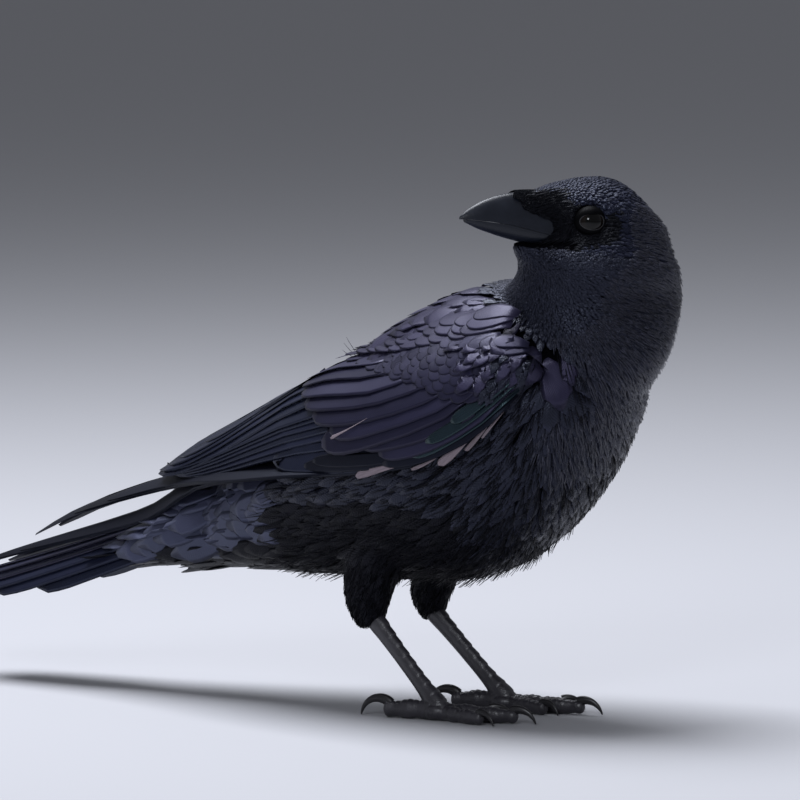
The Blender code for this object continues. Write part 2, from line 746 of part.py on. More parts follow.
def build_legs(clear):
    """Trouser, shank, toes and claws of both legs."""
    for name, side in (("left", 1), ("right", -1)):
        ball = foot_ball(side)
        reach = Vector((ball.x - FOOT_STAGGER, 0, 0))
        rings = []
        for x, y, z, long, wide in through([(k, *row) for k, row in enumerate(THIGH)], np.linspace(0, 5, 9))[:, 1:]:
            rings.append([
                Vector((x + reach.x, side * y, z))
                + Vector((long * cos(2 * pi * k / 16), wide * sin(2 * pi * k / 16), 0.22 * long * cos(2 * pi * k / 16)))
                for k in range(16)
            ])
        thigh = mesh_object(f"thigh_{name}", as_mesh("thigh", loft(rings)), "plumage")
        largest_body(cut_by(thigh, *clear))
        tarsus = mesh_object(f"tarsus_{name}", as_mesh("tarsus", shank(ball)), "leg_scale")
        toes = [
            toe(ball, toe_heading(turn, side), toe_length, radius, 2 if toe_name == "hallux" else 3)
            for toe_name, (turn, toe_length, _, radius) in TOES.items()
        ]
        foot = united(f"foot_{name}", [foot_pad(ball), *toes], "leg_scale")
        foot.data = kept_side(foot.data, [((0, 0, 0), (0, 0, -1))])
        foot.data.materials.append(material("leg_scale"))
        thigh_clear = swollen(f"thigh_cutter_{name}", thigh.data, GAP * 1.2)
        foot_clear = swollen(f"foot_cutter_{name}", foot.data, GAP * 1.2)
        largest_body(cut_by(tarsus, thigh_clear, foot_clear))
        largest_body(foot)
        for toe_name, (turn, toe_length, claw_length, radius) in TOES.items():
            bend = CLAW_BEND.get(toe_name, FRONT_CLAW_BEND)
            horn = claw(ball, toe_heading(turn, side), toe_length, claw_length, radius, bend)
            made = mesh_object(
                f"claw_{name}_{toe_name}", kept_side(as_mesh("claw", horn), [((0, 0, 0), (0, 0, -1))]), "horn"
            )
            largest_body(cut_by(made, foot_clear))


def stand_on_origin():
    """Moves the bird so that the middle of its footprint box is at the origin and its soles at z = 0."""
    solids = [o for o in bpy.context.scene.objects if o.type == "MESH" and not o.hide_render]
    points = np.array([o.matrix_world @ v.co for o in solids for v in o.data.vertices])
    low, high = points.min(0), points.max(0)
    shift = Vector((-(low[0] + high[0]) / 2, -(low[1] + high[1]) / 2, -low[2]))
    for o in solids:
        o.data.transform(Matrix.Translation(shift))


def main():
    for old in list(bpy.data.objects):
        bpy.data.objects.remove(old)
    head, neck, trunk = build_body()
    body = mesh_object("trunk", trunk, "plumage")
    mesh_object("neck", neck, "plumage")
    build_head(head)
    off_trunk, off_neck = swollen("trunk_cutter", trunk, GAP * 1.4), swollen("neck_cutter", neck, GAP * 1.4)
    tail = mesh_object("tail", as_mesh("tail", tail_fan()), "quills")
    off_tail = swollen("tail_cutter", tail.data, GAP * 1.2)
    largest_body(cut_by(tail, off_trunk))
    build_wings([off_trunk, off_neck, off_tail])
    build_legs([off_trunk])
    largest_body(body)
    for tool in [o for o in bpy.context.scene.objects if o.hide_render]:
        bpy.data.objects.remove(tool)
    stand_on_origin()


main()
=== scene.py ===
# %% [markdown]
# # A crow, life size, standing and looking back over its shoulder
#
# The construction script made a faceted, solid crow and packed it. This script dresses that crow:
# one skin in place of the flesh, some seventeen thousand closed feather vanes over it, two folded wings
# laid quill by quill, a tail of twelve, and a finer bill, eyes, lids, legs and claws. It starts by
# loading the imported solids, which give most places and sizes. Lengths are in millimetres in the bird's
# own frame (x ahead, y to its left, z up, from the floor between its feet) until a mesh is made.

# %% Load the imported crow
import heapq
from math import cos, pi, radians, sin

import bmesh
import bpy
import numpy as np
from mathutils import Matrix, Vector
from mathutils.bvhtree import BVHTree
from mathutils.kdtree import KDTree


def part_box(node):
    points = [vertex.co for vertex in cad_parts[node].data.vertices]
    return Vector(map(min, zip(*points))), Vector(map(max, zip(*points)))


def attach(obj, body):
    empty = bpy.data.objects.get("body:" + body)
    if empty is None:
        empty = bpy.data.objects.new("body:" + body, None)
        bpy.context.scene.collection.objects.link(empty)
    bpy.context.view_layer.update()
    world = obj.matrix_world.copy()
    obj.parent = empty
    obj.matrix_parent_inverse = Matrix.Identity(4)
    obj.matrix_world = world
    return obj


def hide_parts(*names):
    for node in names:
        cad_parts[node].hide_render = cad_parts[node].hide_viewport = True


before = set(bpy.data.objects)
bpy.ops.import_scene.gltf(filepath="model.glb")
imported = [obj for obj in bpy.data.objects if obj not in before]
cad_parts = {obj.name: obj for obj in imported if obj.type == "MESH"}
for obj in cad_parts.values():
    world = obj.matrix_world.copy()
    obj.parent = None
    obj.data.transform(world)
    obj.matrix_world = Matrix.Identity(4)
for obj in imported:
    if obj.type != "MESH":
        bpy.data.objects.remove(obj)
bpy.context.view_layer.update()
MM = 0.001
TAIL_END = -270.0  # where the bird's own frame has the tip of the tail
AHEAD = Vector((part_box("tail")[0].x / MM - TAIL_END, 0, 0))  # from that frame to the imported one
dice = np.random.default_rng(11)
print(f"{len(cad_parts)} packed nodes, the bird's frame starts {AHEAD.x:.1f} mm ahead")

# %% [markdown]
# ## Floor, light and camera
#
# A museum would stand the model on a plain pale floor under soft light. A large lamp overhead and a
# weaker one beside the camera do for the sky, and a grey world fills in. The camera is a long lens
# far away, as for a wild bird, level with its back: it looks from 35 degrees round and 5 degrees up.

# %% The stage
VIEW_AROUND, VIEW_UP, VIEW_FAR, VIEW_SPAN = radians(35 - 90), radians(5), 3600.0, 347.8
VIEW_ASIDE, VIEW_HIGH = -30.9, 137.0  # the middle of the view, from between the feet


def in_place(points):
    """Points of the bird's own frame, in mm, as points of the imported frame, in metres."""
    return (np.asarray(points, float) + np.array(AHEAD)) * MM


def linked(name, data):
    made = bpy.data.objects.new(name, data)
    bpy.context.scene.collection.objects.link(made)
    return made


toward = Vector((cos(VIEW_AROUND) * cos(VIEW_UP), sin(VIEW_AROUND) * cos(VIEW_UP), sin(VIEW_UP)))
right = Vector((-sin(VIEW_AROUND), cos(VIEW_AROUND), 0))
upward = toward.cross(right)
lens = bpy.data.cameras.new("camera")
lens.lens = 36 * VIEW_FAR / VIEW_SPAN
lens.clip_end = 50
camera = linked("camera", lens)
spot = right * VIEW_ASIDE + upward * VIEW_HIGH + toward * VIEW_FAR
turned_lens = Matrix((right, upward, toward)).transposed().to_4x4()
camera.matrix_world = Matrix.Translation(in_place(spot)) @ turned_lens
bpy.context.scene.camera = camera


def lamp(name, place, aim, size, power, colour):
    """A soft square lamp that faces a point."""
    light = bpy.data.lights.new(name, "AREA")
    light.size, light.energy, light.color = size, power, colour
    made = linked(name, light)
    made.location = place
    made.rotation_euler = (Vector(aim) - Vector(place)).to_track_quat("-Z", "Y").to_euler()


lamp("sky", (-0.5, 0.1, 1.9), (0, 0, 0.1), 1.3, 72, (0.90, 0.93, 1.0))
lamp("window", (0.9, -1.9, 1.1), (0, 0, 0.14), 0.5, 13, (0.88, 0.92, 1.0))
world = bpy.data.worlds.new("studio")
world.use_nodes = True
world.node_tree.nodes["Background"].inputs["Color"].default_value = (0.62, 0.64, 0.70, 1)
world.node_tree.nodes["Background"].inputs["Strength"].default_value = 0.32
bpy.context.scene.world = world
bpy.context.scene.view_settings.view_transform = "Standard"

ground = bmesh.new()
bmesh.ops.create_grid(ground, x_segments=1, y_segments=1, size=30)
floor = linked("floor", bpy.data.meshes.new("floor"))
ground.to_mesh(floor.data)
ground.free()
paint = bpy.data.materials.new("pale_floor")
paint.use_nodes = True
paint.node_tree.nodes["Principled BSDF"].inputs["Base Color"].default_value = (0.42, 0.42, 0.44, 1)
paint.node_tree.nodes["Principled BSDF"].inputs["Roughness"].default_value = 0.8
floor.data.materials.append(paint)
print("camera", [round(c, 2) for c in camera.matrix_world.translation])

# %% [markdown]
# ## Finishes
#
# A crow isn't flat black. The barbs of its feathers are nearly black but glossy, and under a pale sky
# the gloss is blue to violet, greener on the long hand coverts. So the colour stays very dark and the
# shine does most of the work: a tinted specular and a little tinted sheen. Some light and shade is
# painted into the colour too: lighter, lit copies for feathers facing up, the rump, the tail's top pairs
# and the throat's strands, darker, shaded copies for the underside and the hand quills, and vane edges
# painted darker as shade between feathers on some finishes, lighter as highlights on others. Each vane
# carries a random tone and its own map, where fine slanting lines stand for barbs. All of it is nodes,
# with no picture.

# %% Node helpers
def add_node(tree, kind, *links, **values):
    """A shader node with sockets set by name and, in order, linked to the sockets given."""
    made = tree.nodes.new("ShaderNode" + kind)
    for name, value in values.items():
        if hasattr(made, name):
            setattr(made, name, value)
        else:
            made.inputs[name.replace("_", " ")].default_value = value
    for socket, source in zip(made.inputs, links):
        if source is not None:
            tree.links.new(source, socket)
    return made


def math(tree, operation, *values):
    made = tree.nodes.new("ShaderNodeMath")
    made.operation = operation
    for socket, value in zip(made.inputs, values):
        if isinstance(value, (int, float)):
            socket.default_value = value
        else:
            tree.links.new(value, socket)
    return made.outputs[0]


def finish(name, **sockets):
    """A new material and its shader, with the shader's plain sockets set."""
    made = bpy.data.materials.new(name)
    made.use_nodes = True
    shader = made.node_tree.nodes["Principled BSDF"]
    for socket, value in sockets.items():
        shader.inputs[socket.replace("_", " ")].default_value = value
    return made, made.node_tree, shader


def between(tree, share, low, high):
    """A colour between two colours or sockets, by a share."""
    mix = tree.nodes.new("ShaderNodeMix")
    mix.data_type = "RGBA"
    tree.links.new(share, mix.inputs[0])
    for socket, colour in ((mix.inputs[6], low), (mix.inputs[7], high)):
        if isinstance(colour, tuple):
            socket.default_value = (*colour, 1)
        else:
            tree.links.new(colour, socket)
    return mix.outputs[2]


def roughened(tree, shader, height, strength, distance):
    """Fine relief on a finish, from a node's output."""
    relief = add_node(tree, "Bump", Strength=strength, Distance=distance)
    tree.links.new(height, relief.inputs["Height"])
    tree.links.new(relief.outputs[0], shader.inputs["Normal"])


# %% Feathers' finish
def feather_finish(
    name, dark, light, gloss, rough, barbs, shine=0.4, sheen=0.03, bump=0.25, hair=0.3, rim=None
):
    """Near-black barbs: dark and light are the two ends of the tone, gloss the tint of the shine."""
    made, tree, shader = finish(
        name, Specular_Tint=(*gloss, 1), Specular_IOR_Level=shine, Sheen_Weight=sheen,
        Sheen_Roughness=0.4, Sheen_Tint=(*gloss, 1),
    )
    where = add_node(tree, "TexCoord").outputs["Object"]
    cloud = add_node(tree, "TexNoise", where, Scale=55.0, Detail=3.0).outputs["Fac"]
    tone = add_node(tree, "Attribute", attribute_name="tone").outputs["Fac"]
    vane = add_node(tree, "UVMap", uv_map="Vane").outputs[0]
    split = add_node(tree, "SeparateXYZ", vane)
    strand_at = add_node(
        tree, "CombineXYZ", math(tree, "MULTIPLY", split.outputs[0], 24.0),
        math(tree, "MULTIPLY", split.outputs[1], 1.3), math(tree, "MULTIPLY", tone, 90.0),
    )
    strand = add_node(tree, "TexNoise", strand_at.outputs[0], Scale=1.0, Detail=2.0).outputs["Fac"]
    share = math(tree, "MULTIPLY_ADD", tone, 0.5, math(tree, "MULTIPLY", cloud, 0.3))
    share = math(tree, "MULTIPLY_ADD", math(tree, "SUBTRACT", strand, 0.4), hair * 2, share)
    paint = between(tree, share, dark, light)
    # The rim colour is painted on each vane's edges and tip: where it is darker than the vane it is painted
    # shade where feathers lap, and where it is lighter it is a painted highlight on lit edges.
    if rim:
        edge = add_node(tree, "Attribute", attribute_name="rim").outputs["Fac"]
        paint = between(tree, math(tree, "POWER", edge, 2.0), paint, rim)
    tree.links.new(paint, shader.inputs["Base Color"])
    tree.links.new(math(tree, "MULTIPLY_ADD", share, 0.2, rough - 0.1), shader.inputs["Roughness"])
    across = math(tree, "ABSOLUTE", split.outputs[0])
    slant = math(tree, "MULTIPLY_ADD", across, -1.3, split.outputs[1])
    wobble = math(tree, "MULTIPLY_ADD", strand, 0.12, slant)
    wave = math(tree, "SINE", math(tree, "MULTIPLY", wobble, barbs))
    height = math(tree, "MULTIPLY_ADD", strand, 5.0 * hair, math(tree, "MULTIPLY", wave, 0.6))
    roughened(tree, shader, height, bump, 0.00022)
    return made


VIOLET, BLUE, GREEN = (0.68, 0.65, 1.0), (0.58, 0.67, 1.0), (0.55, 0.88, 0.96)
# Neck, breast and belly: the rim colour, far lighter than the vane, paints highlights on the edges and tips
# of the feathers.
BODY = feather_finish(
    "body_feather", (0.001, 0.001, 0.002), (0.009, 0.010, 0.018), (0.66, 0.72, 1.0), 0.38, 40.0, 0.36,
    hair=0.45, bump=0.35, rim=(0.018, 0.019, 0.036),
)
# Strands of the throat and the filoplumes: a far lighter copy of the body's finish, painted glints.
GLINT_HAIR = feather_finish(
    "glinting_body_hair", (0.001, 0.001, 0.002), (0.050, 0.052, 0.078), (0.78, 0.8, 1.0), 0.34, 40.0, 0.55, hair=0.3,
)
# Mantle and scapulars, facing up: a lighter copy of the body's finish, painted light from the sky. Its rim
# is a little darker, painted shade between feathers.
LIT_BACK = feather_finish(
    "lit_back_feather", (0.008, 0.007, 0.017), (0.029, 0.026, 0.058), VIOLET, 0.42, 48.0, 0.34,
    hair=0.3, bump=0.2, rim=(0.014, 0.014, 0.026),
)
# The rump's upper side: a lighter, bluer copy of the back's finish, painted light from above, with a rim
# lighter still, painted highlights.
LIT_RUMP = feather_finish(
    "lit_rump_feather", (0.014, 0.015, 0.028), (0.050, 0.053, 0.092), BLUE, 0.36, 48.0, 0.55,
    hair=0.3, bump=0.2, rim=(0.045, 0.047, 0.072),
)
HEAD = feather_finish(
    "head_feather", (0.002, 0.002, 0.005), (0.012, 0.013, 0.028), BLUE, 0.45, 70.0, 0.3,
    hair=0.25, bump=0.1,
)
MASK = feather_finish(
    "black_bristle", (0.001, 0.001, 0.002), (0.004, 0.004, 0.006), (0.8, 0.85, 1.0), 0.5, 70.0, 0.14, 0.0,
    hair=0.4,
)
# Wing and tail finishes below that have a rim: the rim colour, darker than the vane, paints shade along the
# edges where the feathers lap.
COVERT = feather_finish(
    "wing_covert", (0.006, 0.006, 0.014), (0.022, 0.021, 0.048), VIOLET, 0.40, 46.0, 0.36,
    hair=0.15, bump=0.09, rim=(0.004, 0.004, 0.009),
)
QUILL = feather_finish(
    "flight_quill", (0.003, 0.004, 0.010), (0.012, 0.014, 0.034), BLUE, 0.33, 46.0, 0.42,
    hair=0.12, bump=0.12, rim=(0.003, 0.003, 0.006),
)
# The tail's three top pairs: a lighter copy of the quills' finish, painted light on the roof of the tail.
LIT_TAIL_TOP = feather_finish(
    "tail_quill", (0.004, 0.005, 0.010), (0.020, 0.022, 0.046), VIOLET, 0.30, 46.0, 0.55,
    hair=0.2, bump=0.15, rim=(0.003, 0.003, 0.007),
)
# Primaries and the quills under the wing's edge: a near-black copy of the quills' finish, painted shade.
SHADED_QUILL = feather_finish(
    "shaded_hand_quill", (0.001, 0.001, 0.002), (0.004, 0.004, 0.008), BLUE, 0.40, 46.0, 0.24, 0.01,
    hair=0.12, bump=0.12,
)
HAND = feather_finish(
    "hand_covert", (0.003, 0.005, 0.008), (0.010, 0.016, 0.025), GREEN, 0.27, 46.0, 0.6,
    hair=0.12, bump=0.12, rim=(0.002, 0.003, 0.004),
)
# Underside, thighs, belly strands and vent tufts: a darker copy of the body's finish, painted shade.
SHADED_UNDERSIDE = feather_finish(
    "shaded_under_feather", (0.001, 0.001, 0.002), (0.005, 0.005, 0.008), (0.8, 0.82, 1.0), 0.5, 40.0, 0.16, 0.0,
    hair=0.6, bump=0.5,
)
PALE = feather_finish(
    "worn_tip", (0.10, 0.08, 0.09), (0.27, 0.22, 0.25), (1.0, 0.95, 1.0), 0.6, 42.0, 0.3, hair=0.6,
)

SKIN, _tree, _shader = finish(
    "skin", Base_Color=(0.001, 0.001, 0.002, 1), Roughness=0.8, Specular_IOR_Level=0.02,
)
_grain = add_node(_tree, "TexNoise", add_node(_tree, "TexCoord").outputs["Object"], Scale=900.0, Detail=2.0)
roughened(_tree, _shader, _grain.outputs["Fac"], 0.4, 0.0004)
print(len(bpy.data.materials), "finishes so far")

# %% [markdown]
# ## Reading smooth curves through a few keys
#
# A bird's outline has few decisions in it: where it is widest, where it turns. Each shape below is a
# short table of such keys, and every station between them is read from a smooth curve.

# %% Curves through keys
def through(keys, at):
    """Rows read from a smooth curve through the keys, whose first column is the position."""
    rows = np.array(sorted(map(tuple, keys)), float)
    x = rows[:, 0]
    slopes = np.gradient(rows, x, axis=0)
    at = np.atleast_1d(np.asarray(at, float))
    i = np.clip(np.searchsorted(x, at) - 1, 0, len(x) - 2)
    h = (x[i + 1] - x[i])[:, None]
    t = np.clip((at - x[i])[:, None] / h, 0.0, 1.0)
    return (
        rows[i] * (2 * t**3 - 3 * t**2 + 1)
        + slopes[i] * h * (t**3 - 2 * t**2 + t)
        + rows[i + 1] * (3 * t**2 - 2 * t**3)
        + slopes[i + 1] * h * (t**3 - t**2)
    )


def unit(vectors):
    return vectors / np.maximum(np.linalg.norm(vectors, axis=-1, keepdims=True), 1e-9)


# %% [markdown]
# ## The skin
#
# Plucked, a crow is a third slimmer than it looks. One skin takes the place of head, neck, trunk and
# thighs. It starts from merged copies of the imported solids, with the wings' for their bulk, swollen a
# little so that their clearance gaps close. A voxel remesh melts them into one surface, which is the
# outside of the coat. The skin is that surface drawn in by the coat's depth.

# %% Melt the solids
FLESH = ["trunk", "neck", "head", "thigh_left", "thigh_right"]
WINGS = [f"wing_{side}_{part}" for side in ("left", "right") for part in ("coverts", "secondaries")]
SWELL, COAT_VOXEL = 0.35, 1.6


def remeshed(made, voxel, rounds):
    """The mesh of an object whose overlapping solids are melted into one surface and eased."""
    remesh = made.modifiers.new("melt", "REMESH")
    remesh.mode, remesh.voxel_size = "VOXEL", voxel * MM
    ease = made.modifiers.new("ease", "SMOOTH")
    ease.factor, ease.iterations = 0.5, rounds
    bpy.context.view_layer.update()
    return bpy.data.meshes.new_from_object(made.evaluated_get(bpy.context.evaluated_depsgraph_get()))


def melted(name, nodes, voxel, rounds):
    """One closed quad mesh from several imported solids."""
    whole = bmesh.new()
    for node in nodes:
        whole.from_mesh(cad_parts[node].data)
    bmesh.ops.remove_doubles(whole, verts=whole.verts, dist=1e-6)
    bmesh.ops.recalc_face_normals(whole, faces=whole.faces)
    whole.normal_update()
    for vert, push in [(v, v.normal * SWELL * MM) for v in whole.verts]:
        vert.co += push
    made = linked(name, bpy.data.meshes.new(name))
    whole.to_mesh(made.data)
    whole.free()
    mesh = remeshed(made, voxel, rounds)
    made.modifiers.clear()
    made.data = mesh
    return made


skin = melted("skin", FLESH + WINGS, COAT_VOXEL, 6)
print("skin", len(skin.data.vertices), "points,", len(skin.data.polygons), "faces")

# %% Read the coat's surface as arrays
count = len(skin.data.vertices)
coat = np.empty(count * 3)
skin.data.vertices.foreach_get("co", coat)
coat = coat.reshape(-1, 3) / MM - np.array(AHEAD)
normal = np.empty(count * 3)
skin.data.vertex_normals.foreach_get("vector", normal)
normal = normal.reshape(-1, 3)
BREAST_TRIM, REAR_TRIM = 2.2, 1.6  # how far the coat is drawn in there, for barbs stand off it
breast = np.clip((coat[:, 0] - 5) / 30, 0, 1) * np.clip((152 - coat[:, 2]) / 25, 0, 1)
breast = breast * np.clip(0.6 - normal[:, 2], 0, 1)
rear = np.clip((-120 - coat[:, 0]) / 20, 0, 1) * np.clip((80 - coat[:, 2]) / 10, 0, 1)
coat -= normal * (BREAST_TRIM * breast + REAR_TRIM * rear)[:, None]
skin.data.calc_loop_triangles()
corners = np.empty(len(skin.data.loop_triangles) * 3, np.int32)
skin.data.loop_triangles.foreach_get("vertices", corners)
corners = corners.reshape(-1, 3)
coat_tree = BVHTree.FromPolygons(coat.tolist(), corners.tolist())

labels, label_points, label_faces = [], [], []
for number, node in enumerate(FLESH + WINGS):
    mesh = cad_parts[node].data
    mesh.calc_loop_triangles()
    start = len(label_points)
    label_points += [v.co / MM - AHEAD for v in mesh.vertices]
    label_faces += [[start + k for k in face.vertices] for face in mesh.loop_triangles]
    labels += [number] * len(mesh.loop_triangles)
label_tree = BVHTree.FromPolygons(label_points, label_faces)


def nearest_node(points):
    """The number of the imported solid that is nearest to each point."""
    return np.array([labels[label_tree.find_nearest(Vector(p))[2]] for p in points])


node_of = nearest_node(coat)
on_head, on_neck, on_thigh = node_of == 2, node_of == 1, (node_of == 3) | (node_of == 4)
on_wing = node_of >= len(FLESH)
print({name: int((node_of == k).sum()) for k, name in enumerate(FLESH + WINGS)})

# %% [markdown]
# ## The head's own frame
#
# The head is turned well over the right shoulder, so its parts are placed in axes of its own: f ahead
# along the bill, l to its left and u up, from a point just behind and above the eyes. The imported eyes
# say where that is: the line between them gives l.

# %% Axes of the head
eye_middle = {
    side: Vector(sum((np.array(c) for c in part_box(f"eye_{side}")), np.zeros(3)) / 2) / MM - AHEAD
    for side in ("left", "right")
}
EYE_AT = (1.8, -1.1)  # the eyes, ahead of the head's middle and above it
head_left = (eye_middle["left"] - eye_middle["right"]).normalized()
head_up = Vector((0, 0, 1))
head_ahead = head_left.cross(head_up).normalized()
head_axes = np.array((head_ahead, head_left, head_up))
head_middle = (eye_middle["left"] + eye_middle["right"]) / 2 - head_ahead * EYE_AT[0] - head_up * EYE_AT[1]
EYE_SPREAD = (eye_middle["left"] - eye_middle["right"]).length / 2
EYE_RADIUS = (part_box("eye_left")[1].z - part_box("eye_left")[0].z) / MM / 2


def from_head(points):
    """Points in the head's axes as points in the bird's frame."""
    return np.asarray(points, float) @ head_axes + np.array(head_middle)


def to_head(points):
    return (np.asarray(points, float) - np.array(head_middle)) @ head_axes.T


in_head = to_head(coat)
print("eyes", round(EYE_SPREAD, 1), "mm from the midline, radius", round(EYE_RADIUS, 2))

# %% [markdown]
# ## The lie of the coat
#
# Feathers grow away from the bill: back over the crown, down the throat, over the breast and under the
# belly, and down the thighs. So the lie is the direction in which the walk over the skin from the bill
# grows longest. That walk is measured along the mesh's edges and diagonals, then smoothed, and over
# the trunk the lie is turned towards the tail, as on a real flank.

# %% Walk over the coat from the bill's base
FACE_FRONT = 19.0  # the walk from the front of the bristles and the chin to the face
quads = [tuple(p.vertices) for p in skin.data.polygons]
near = [set() for _ in range(count)]
for quad in quads:
    for one in quad:
        near[one].update(k for k in quad if k != one)
near = [sorted(k) for k in near]
bill_root = on_head & (in_head[:, 0] > 28)
walk = np.full(count, np.inf)
walk[bill_root] = 0
queue = [(0.0, int(k)) for k in np.flatnonzero(bill_root)]
places = [tuple(p) for p in coat.tolist()]
while queue:
    gone, here = heapq.heappop(queue)
    if gone > walk[here]:
        continue
    ax, ay, az = places[here]
    for there in near[here]:
        bx, by, bz = places[there]
        far = gone + ((ax - bx) ** 2 + (ay - by) ** 2 + (az - bz) ** 2) ** 0.5
        if far < walk[there] - 1e-9:
            walk[there] = far
            heapq.heappush(queue, (far, there))
walk[~np.isfinite(walk)] = walk[np.isfinite(walk)].max()
print(int(bill_root.sum()), "points at the bill, longest walk", round(float(walk.max())), "mm")

# %% Smooth it and take its slope
pairs = np.array([(a, b) for a in range(count) for b in near[a]])
weight = np.bincount(pairs[:, 0], minlength=count)


def eased(values, rounds):
    """Each point's value drawn to the mean of its neighbours', a number of times."""
    values = np.asarray(values, float)
    flat = values.reshape(count, -1)
    for _ in range(rounds):
        sums = [
            np.bincount(pairs[:, 0], flat[pairs[:, 1], k], minlength=count) for k in range(flat.shape[1])
        ]
        flat = 0.4 * flat + 0.6 * np.stack(sums, 1) / weight[:, None]
    return flat.reshape(values.shape)


def flattened(vectors, normals):
    """Unit vectors along the surface."""
    return unit(vectors - normals * (vectors * normals).sum(-1, keepdims=True))


smooth_walk = eased(walk, 12)
tri = coat[corners]
face_normal = np.cross(tri[:, 1] - tri[:, 0], tri[:, 2] - tri[:, 0])
double_area = np.maximum(np.linalg.norm(face_normal, axis=1), 1e-9)
face_unit = face_normal / double_area[:, None]
slope = sum(
    smooth_walk[corners[:, k]][:, None] * np.cross(face_unit, tri[:, (k + 2) % 3] - tri[:, (k + 1) % 3])
    for k in range(3)
)
lie = np.zeros((count, 3))
for k in range(3):
    np.add.at(lie, corners[:, k], slope)
for _ in range(5):
    lie = flattened(eased(unit(lie), 3), normal)
TAILWARD = np.array((-1.0, 0, -0.22))
DOWN_THIGH = np.array((-0.45, 0, -1.0))
pull = np.interp(coat[:, 0], (-60, 0, 30, 62), (1, 0.85, 0.45, 0))[:, None] * (~on_head & ~on_neck)[:, None]
lie = unit(lie * (1 - pull) + flattened(TAILWARD, normal) * pull)
lie[on_thigh] = flattened(DOWN_THIGH, normal[on_thigh])
for _ in range(3):
    lie = flattened(eased(lie, 3), normal)
face_area = double_area / 2
print("coat of", round(face_area.sum() / 100), "square centimetres")

# %% [markdown]
# ## How deep, how long and how broad
#
# The coat is thin on the face and deep on breast and belly. Each size is read from the walk: a table
# row says, so many millimetres from the bill's base, the coat's depth and a feather's length and
# breadth. Back feathers are broader than those of the breast, and a thigh's are short and narrow.
# Under a wing's own feathers the skin lies deep. Only its outer face is drawn in: the face next to
# the body stays put, for the folded wing is thin and the two would cross.

# %% Sizes over the body
# walk, depth, length, breadth
FRONT_SIZES = (
    (0, 0.9, 3.6, 1.2), (14, 1.1, 4.8, 1.5), (26, 1.4, 8, 1.7), (40, 2.0, 13, 2.1), (58, 2.4, 16, 2.8),
    (80, 2.9, 18, 5), (105, 3.2, 20, 6.2), (150, 3.4, 24, 6.5), (200, 3.4, 28, 7), (300, 3.2, 34, 9),
)
BACK_SIZES = (
    (0, 0.9, 3.2, 1.3), (14, 1.1, 4.4, 1.6), (30, 1.4, 7.0, 2.0), (48, 1.8, 11, 3.0), (64, 2.4, 17, 6.0),
    (80, 2.4, 20, 10), (110, 2.6, 24, 13), (160, 2.8, 28, 14), (220, 2.8, 34, 14), (300, 2.8, 40, 13),
)
past_face = np.maximum(smooth_walk - FACE_FRONT, 0)
front = through(FRONT_SIZES, past_face)
MANTLE_AT = 125.0  # the row for the mantle, which is near the bill only because the head is turned
back = through(BACK_SIZES, np.where(on_head | on_neck, past_face, np.maximum(past_face, MANTLE_AT)))
upper_side = np.clip(normal[:, 2] * 1.6 + 0.3, 0, 1)[:, None]
upper_side[on_head] = np.clip(normal[on_head, 2] * 1.4 + 0.6, 0, 1)[:, None]
sizes = (front * (1 - upper_side) + back * upper_side)[:, 1:]
flank = np.interp(coat[:, 0], (-76, -58), (1, 0))[:, None]
flank = flank * np.interp(coat[:, 2], (58, 68), (0, 1))[:, None]
flank *= (~on_head & ~on_neck & ~on_thigh)[:, None]
sizes = sizes * (1 - flank) + np.array((2.8, 32, 13)) * flank
sizes[on_thigh] = (2.2, 14, 3.2)
sizes[on_wing] = (3.2, 17, 7)
sizes[on_wing, 0] = np.interp(coat[on_wing, 0], (-90, -60, 46, 53), (4.2, 7.0, 7.0, 3.4))
sizes[on_wing & (coat[:, 2] > 162), 0] = 3.2
sizes[on_wing & (coat[:, 0] > 48), 1:] = (16, 5)
sizes = eased(sizes, 4)
inward = on_wing & (normal[:, 1] * np.sign(coat[:, 1]) < -0.15) & (normal[:, 2] < 0.4)
sizes[inward, 0] = np.minimum(sizes[inward, 0], 0.3)
depth = sizes[:, 0]
inner = coat - normal * depth[:, None]
print("depth", depth.min().round(2), "to", depth.max().round(2))

# %% Finish the skin
skin.data.vertices.foreach_set("co", in_place(eased(inner, 1)).ravel())
skin.data.update()
skin.data.shade_smooth()
skin.data.materials.clear()
skin.data.materials.append(SKIN)

# %% [markdown]
# ## Maps for baking
#
# A map named OFBake lets each piece's colour be baked. The skin is unrolled by its own
# shape: along it goes the walk from the bill, around it the angle about the body's axis. Each feather
# is a tiny patch at its root's place on that unroll, so it takes the colour of its own spot.

# %% Unroll the coat
# x and height of the trunk's middle
AXIS = ((-190, 56), (-100, 90), (-40, 112), (20, 130), (50, 150), (60, 175))
NECK_AT, NECK_FROM = 60.0, 175.0


def unrolled(points, far):
    """Places on the coat's map: distance from the bill along it, angle about the body around it."""
    points = np.asarray(points, float)
    height = through(AXIS, points[:, 0])[:, 1]
    about_neck = np.arctan2(points[:, 1], points[:, 0] - NECK_AT)
    about_back = np.arctan2(points[:, 1], points[:, 2] - height)
    angle = np.where(points[:, 2] > NECK_FROM, about_neck, about_back)
    return np.stack((0.01 + 0.98 * far / (smooth_walk.max() + 1), 0.5 + 0.49 * angle / pi), 1)


def bake_map(mesh, places):
    """Writes a value for each point of the mesh to the map OFBake."""
    corner = np.empty(len(mesh.loops), np.int32)
    mesh.loops.foreach_get("vertex_index", corner)
    layer = mesh.uv_layers.new(name="OFBake")
    layer.data.foreach_set("uv", np.asarray(places, np.float32)[corner].ravel())


def strips(count):
    """Places on a map for a row of vanes, a strip for each, and half the size of a strip."""
    places = np.stack(((np.arange(count) + 0.5) / count, np.full(count, 0.5)), 1)
    return places, (0.4 / count, 0.45)


bake_map(skin.data, unrolled(coat, smooth_walk))
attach(skin, "root")
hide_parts(*FLESH)

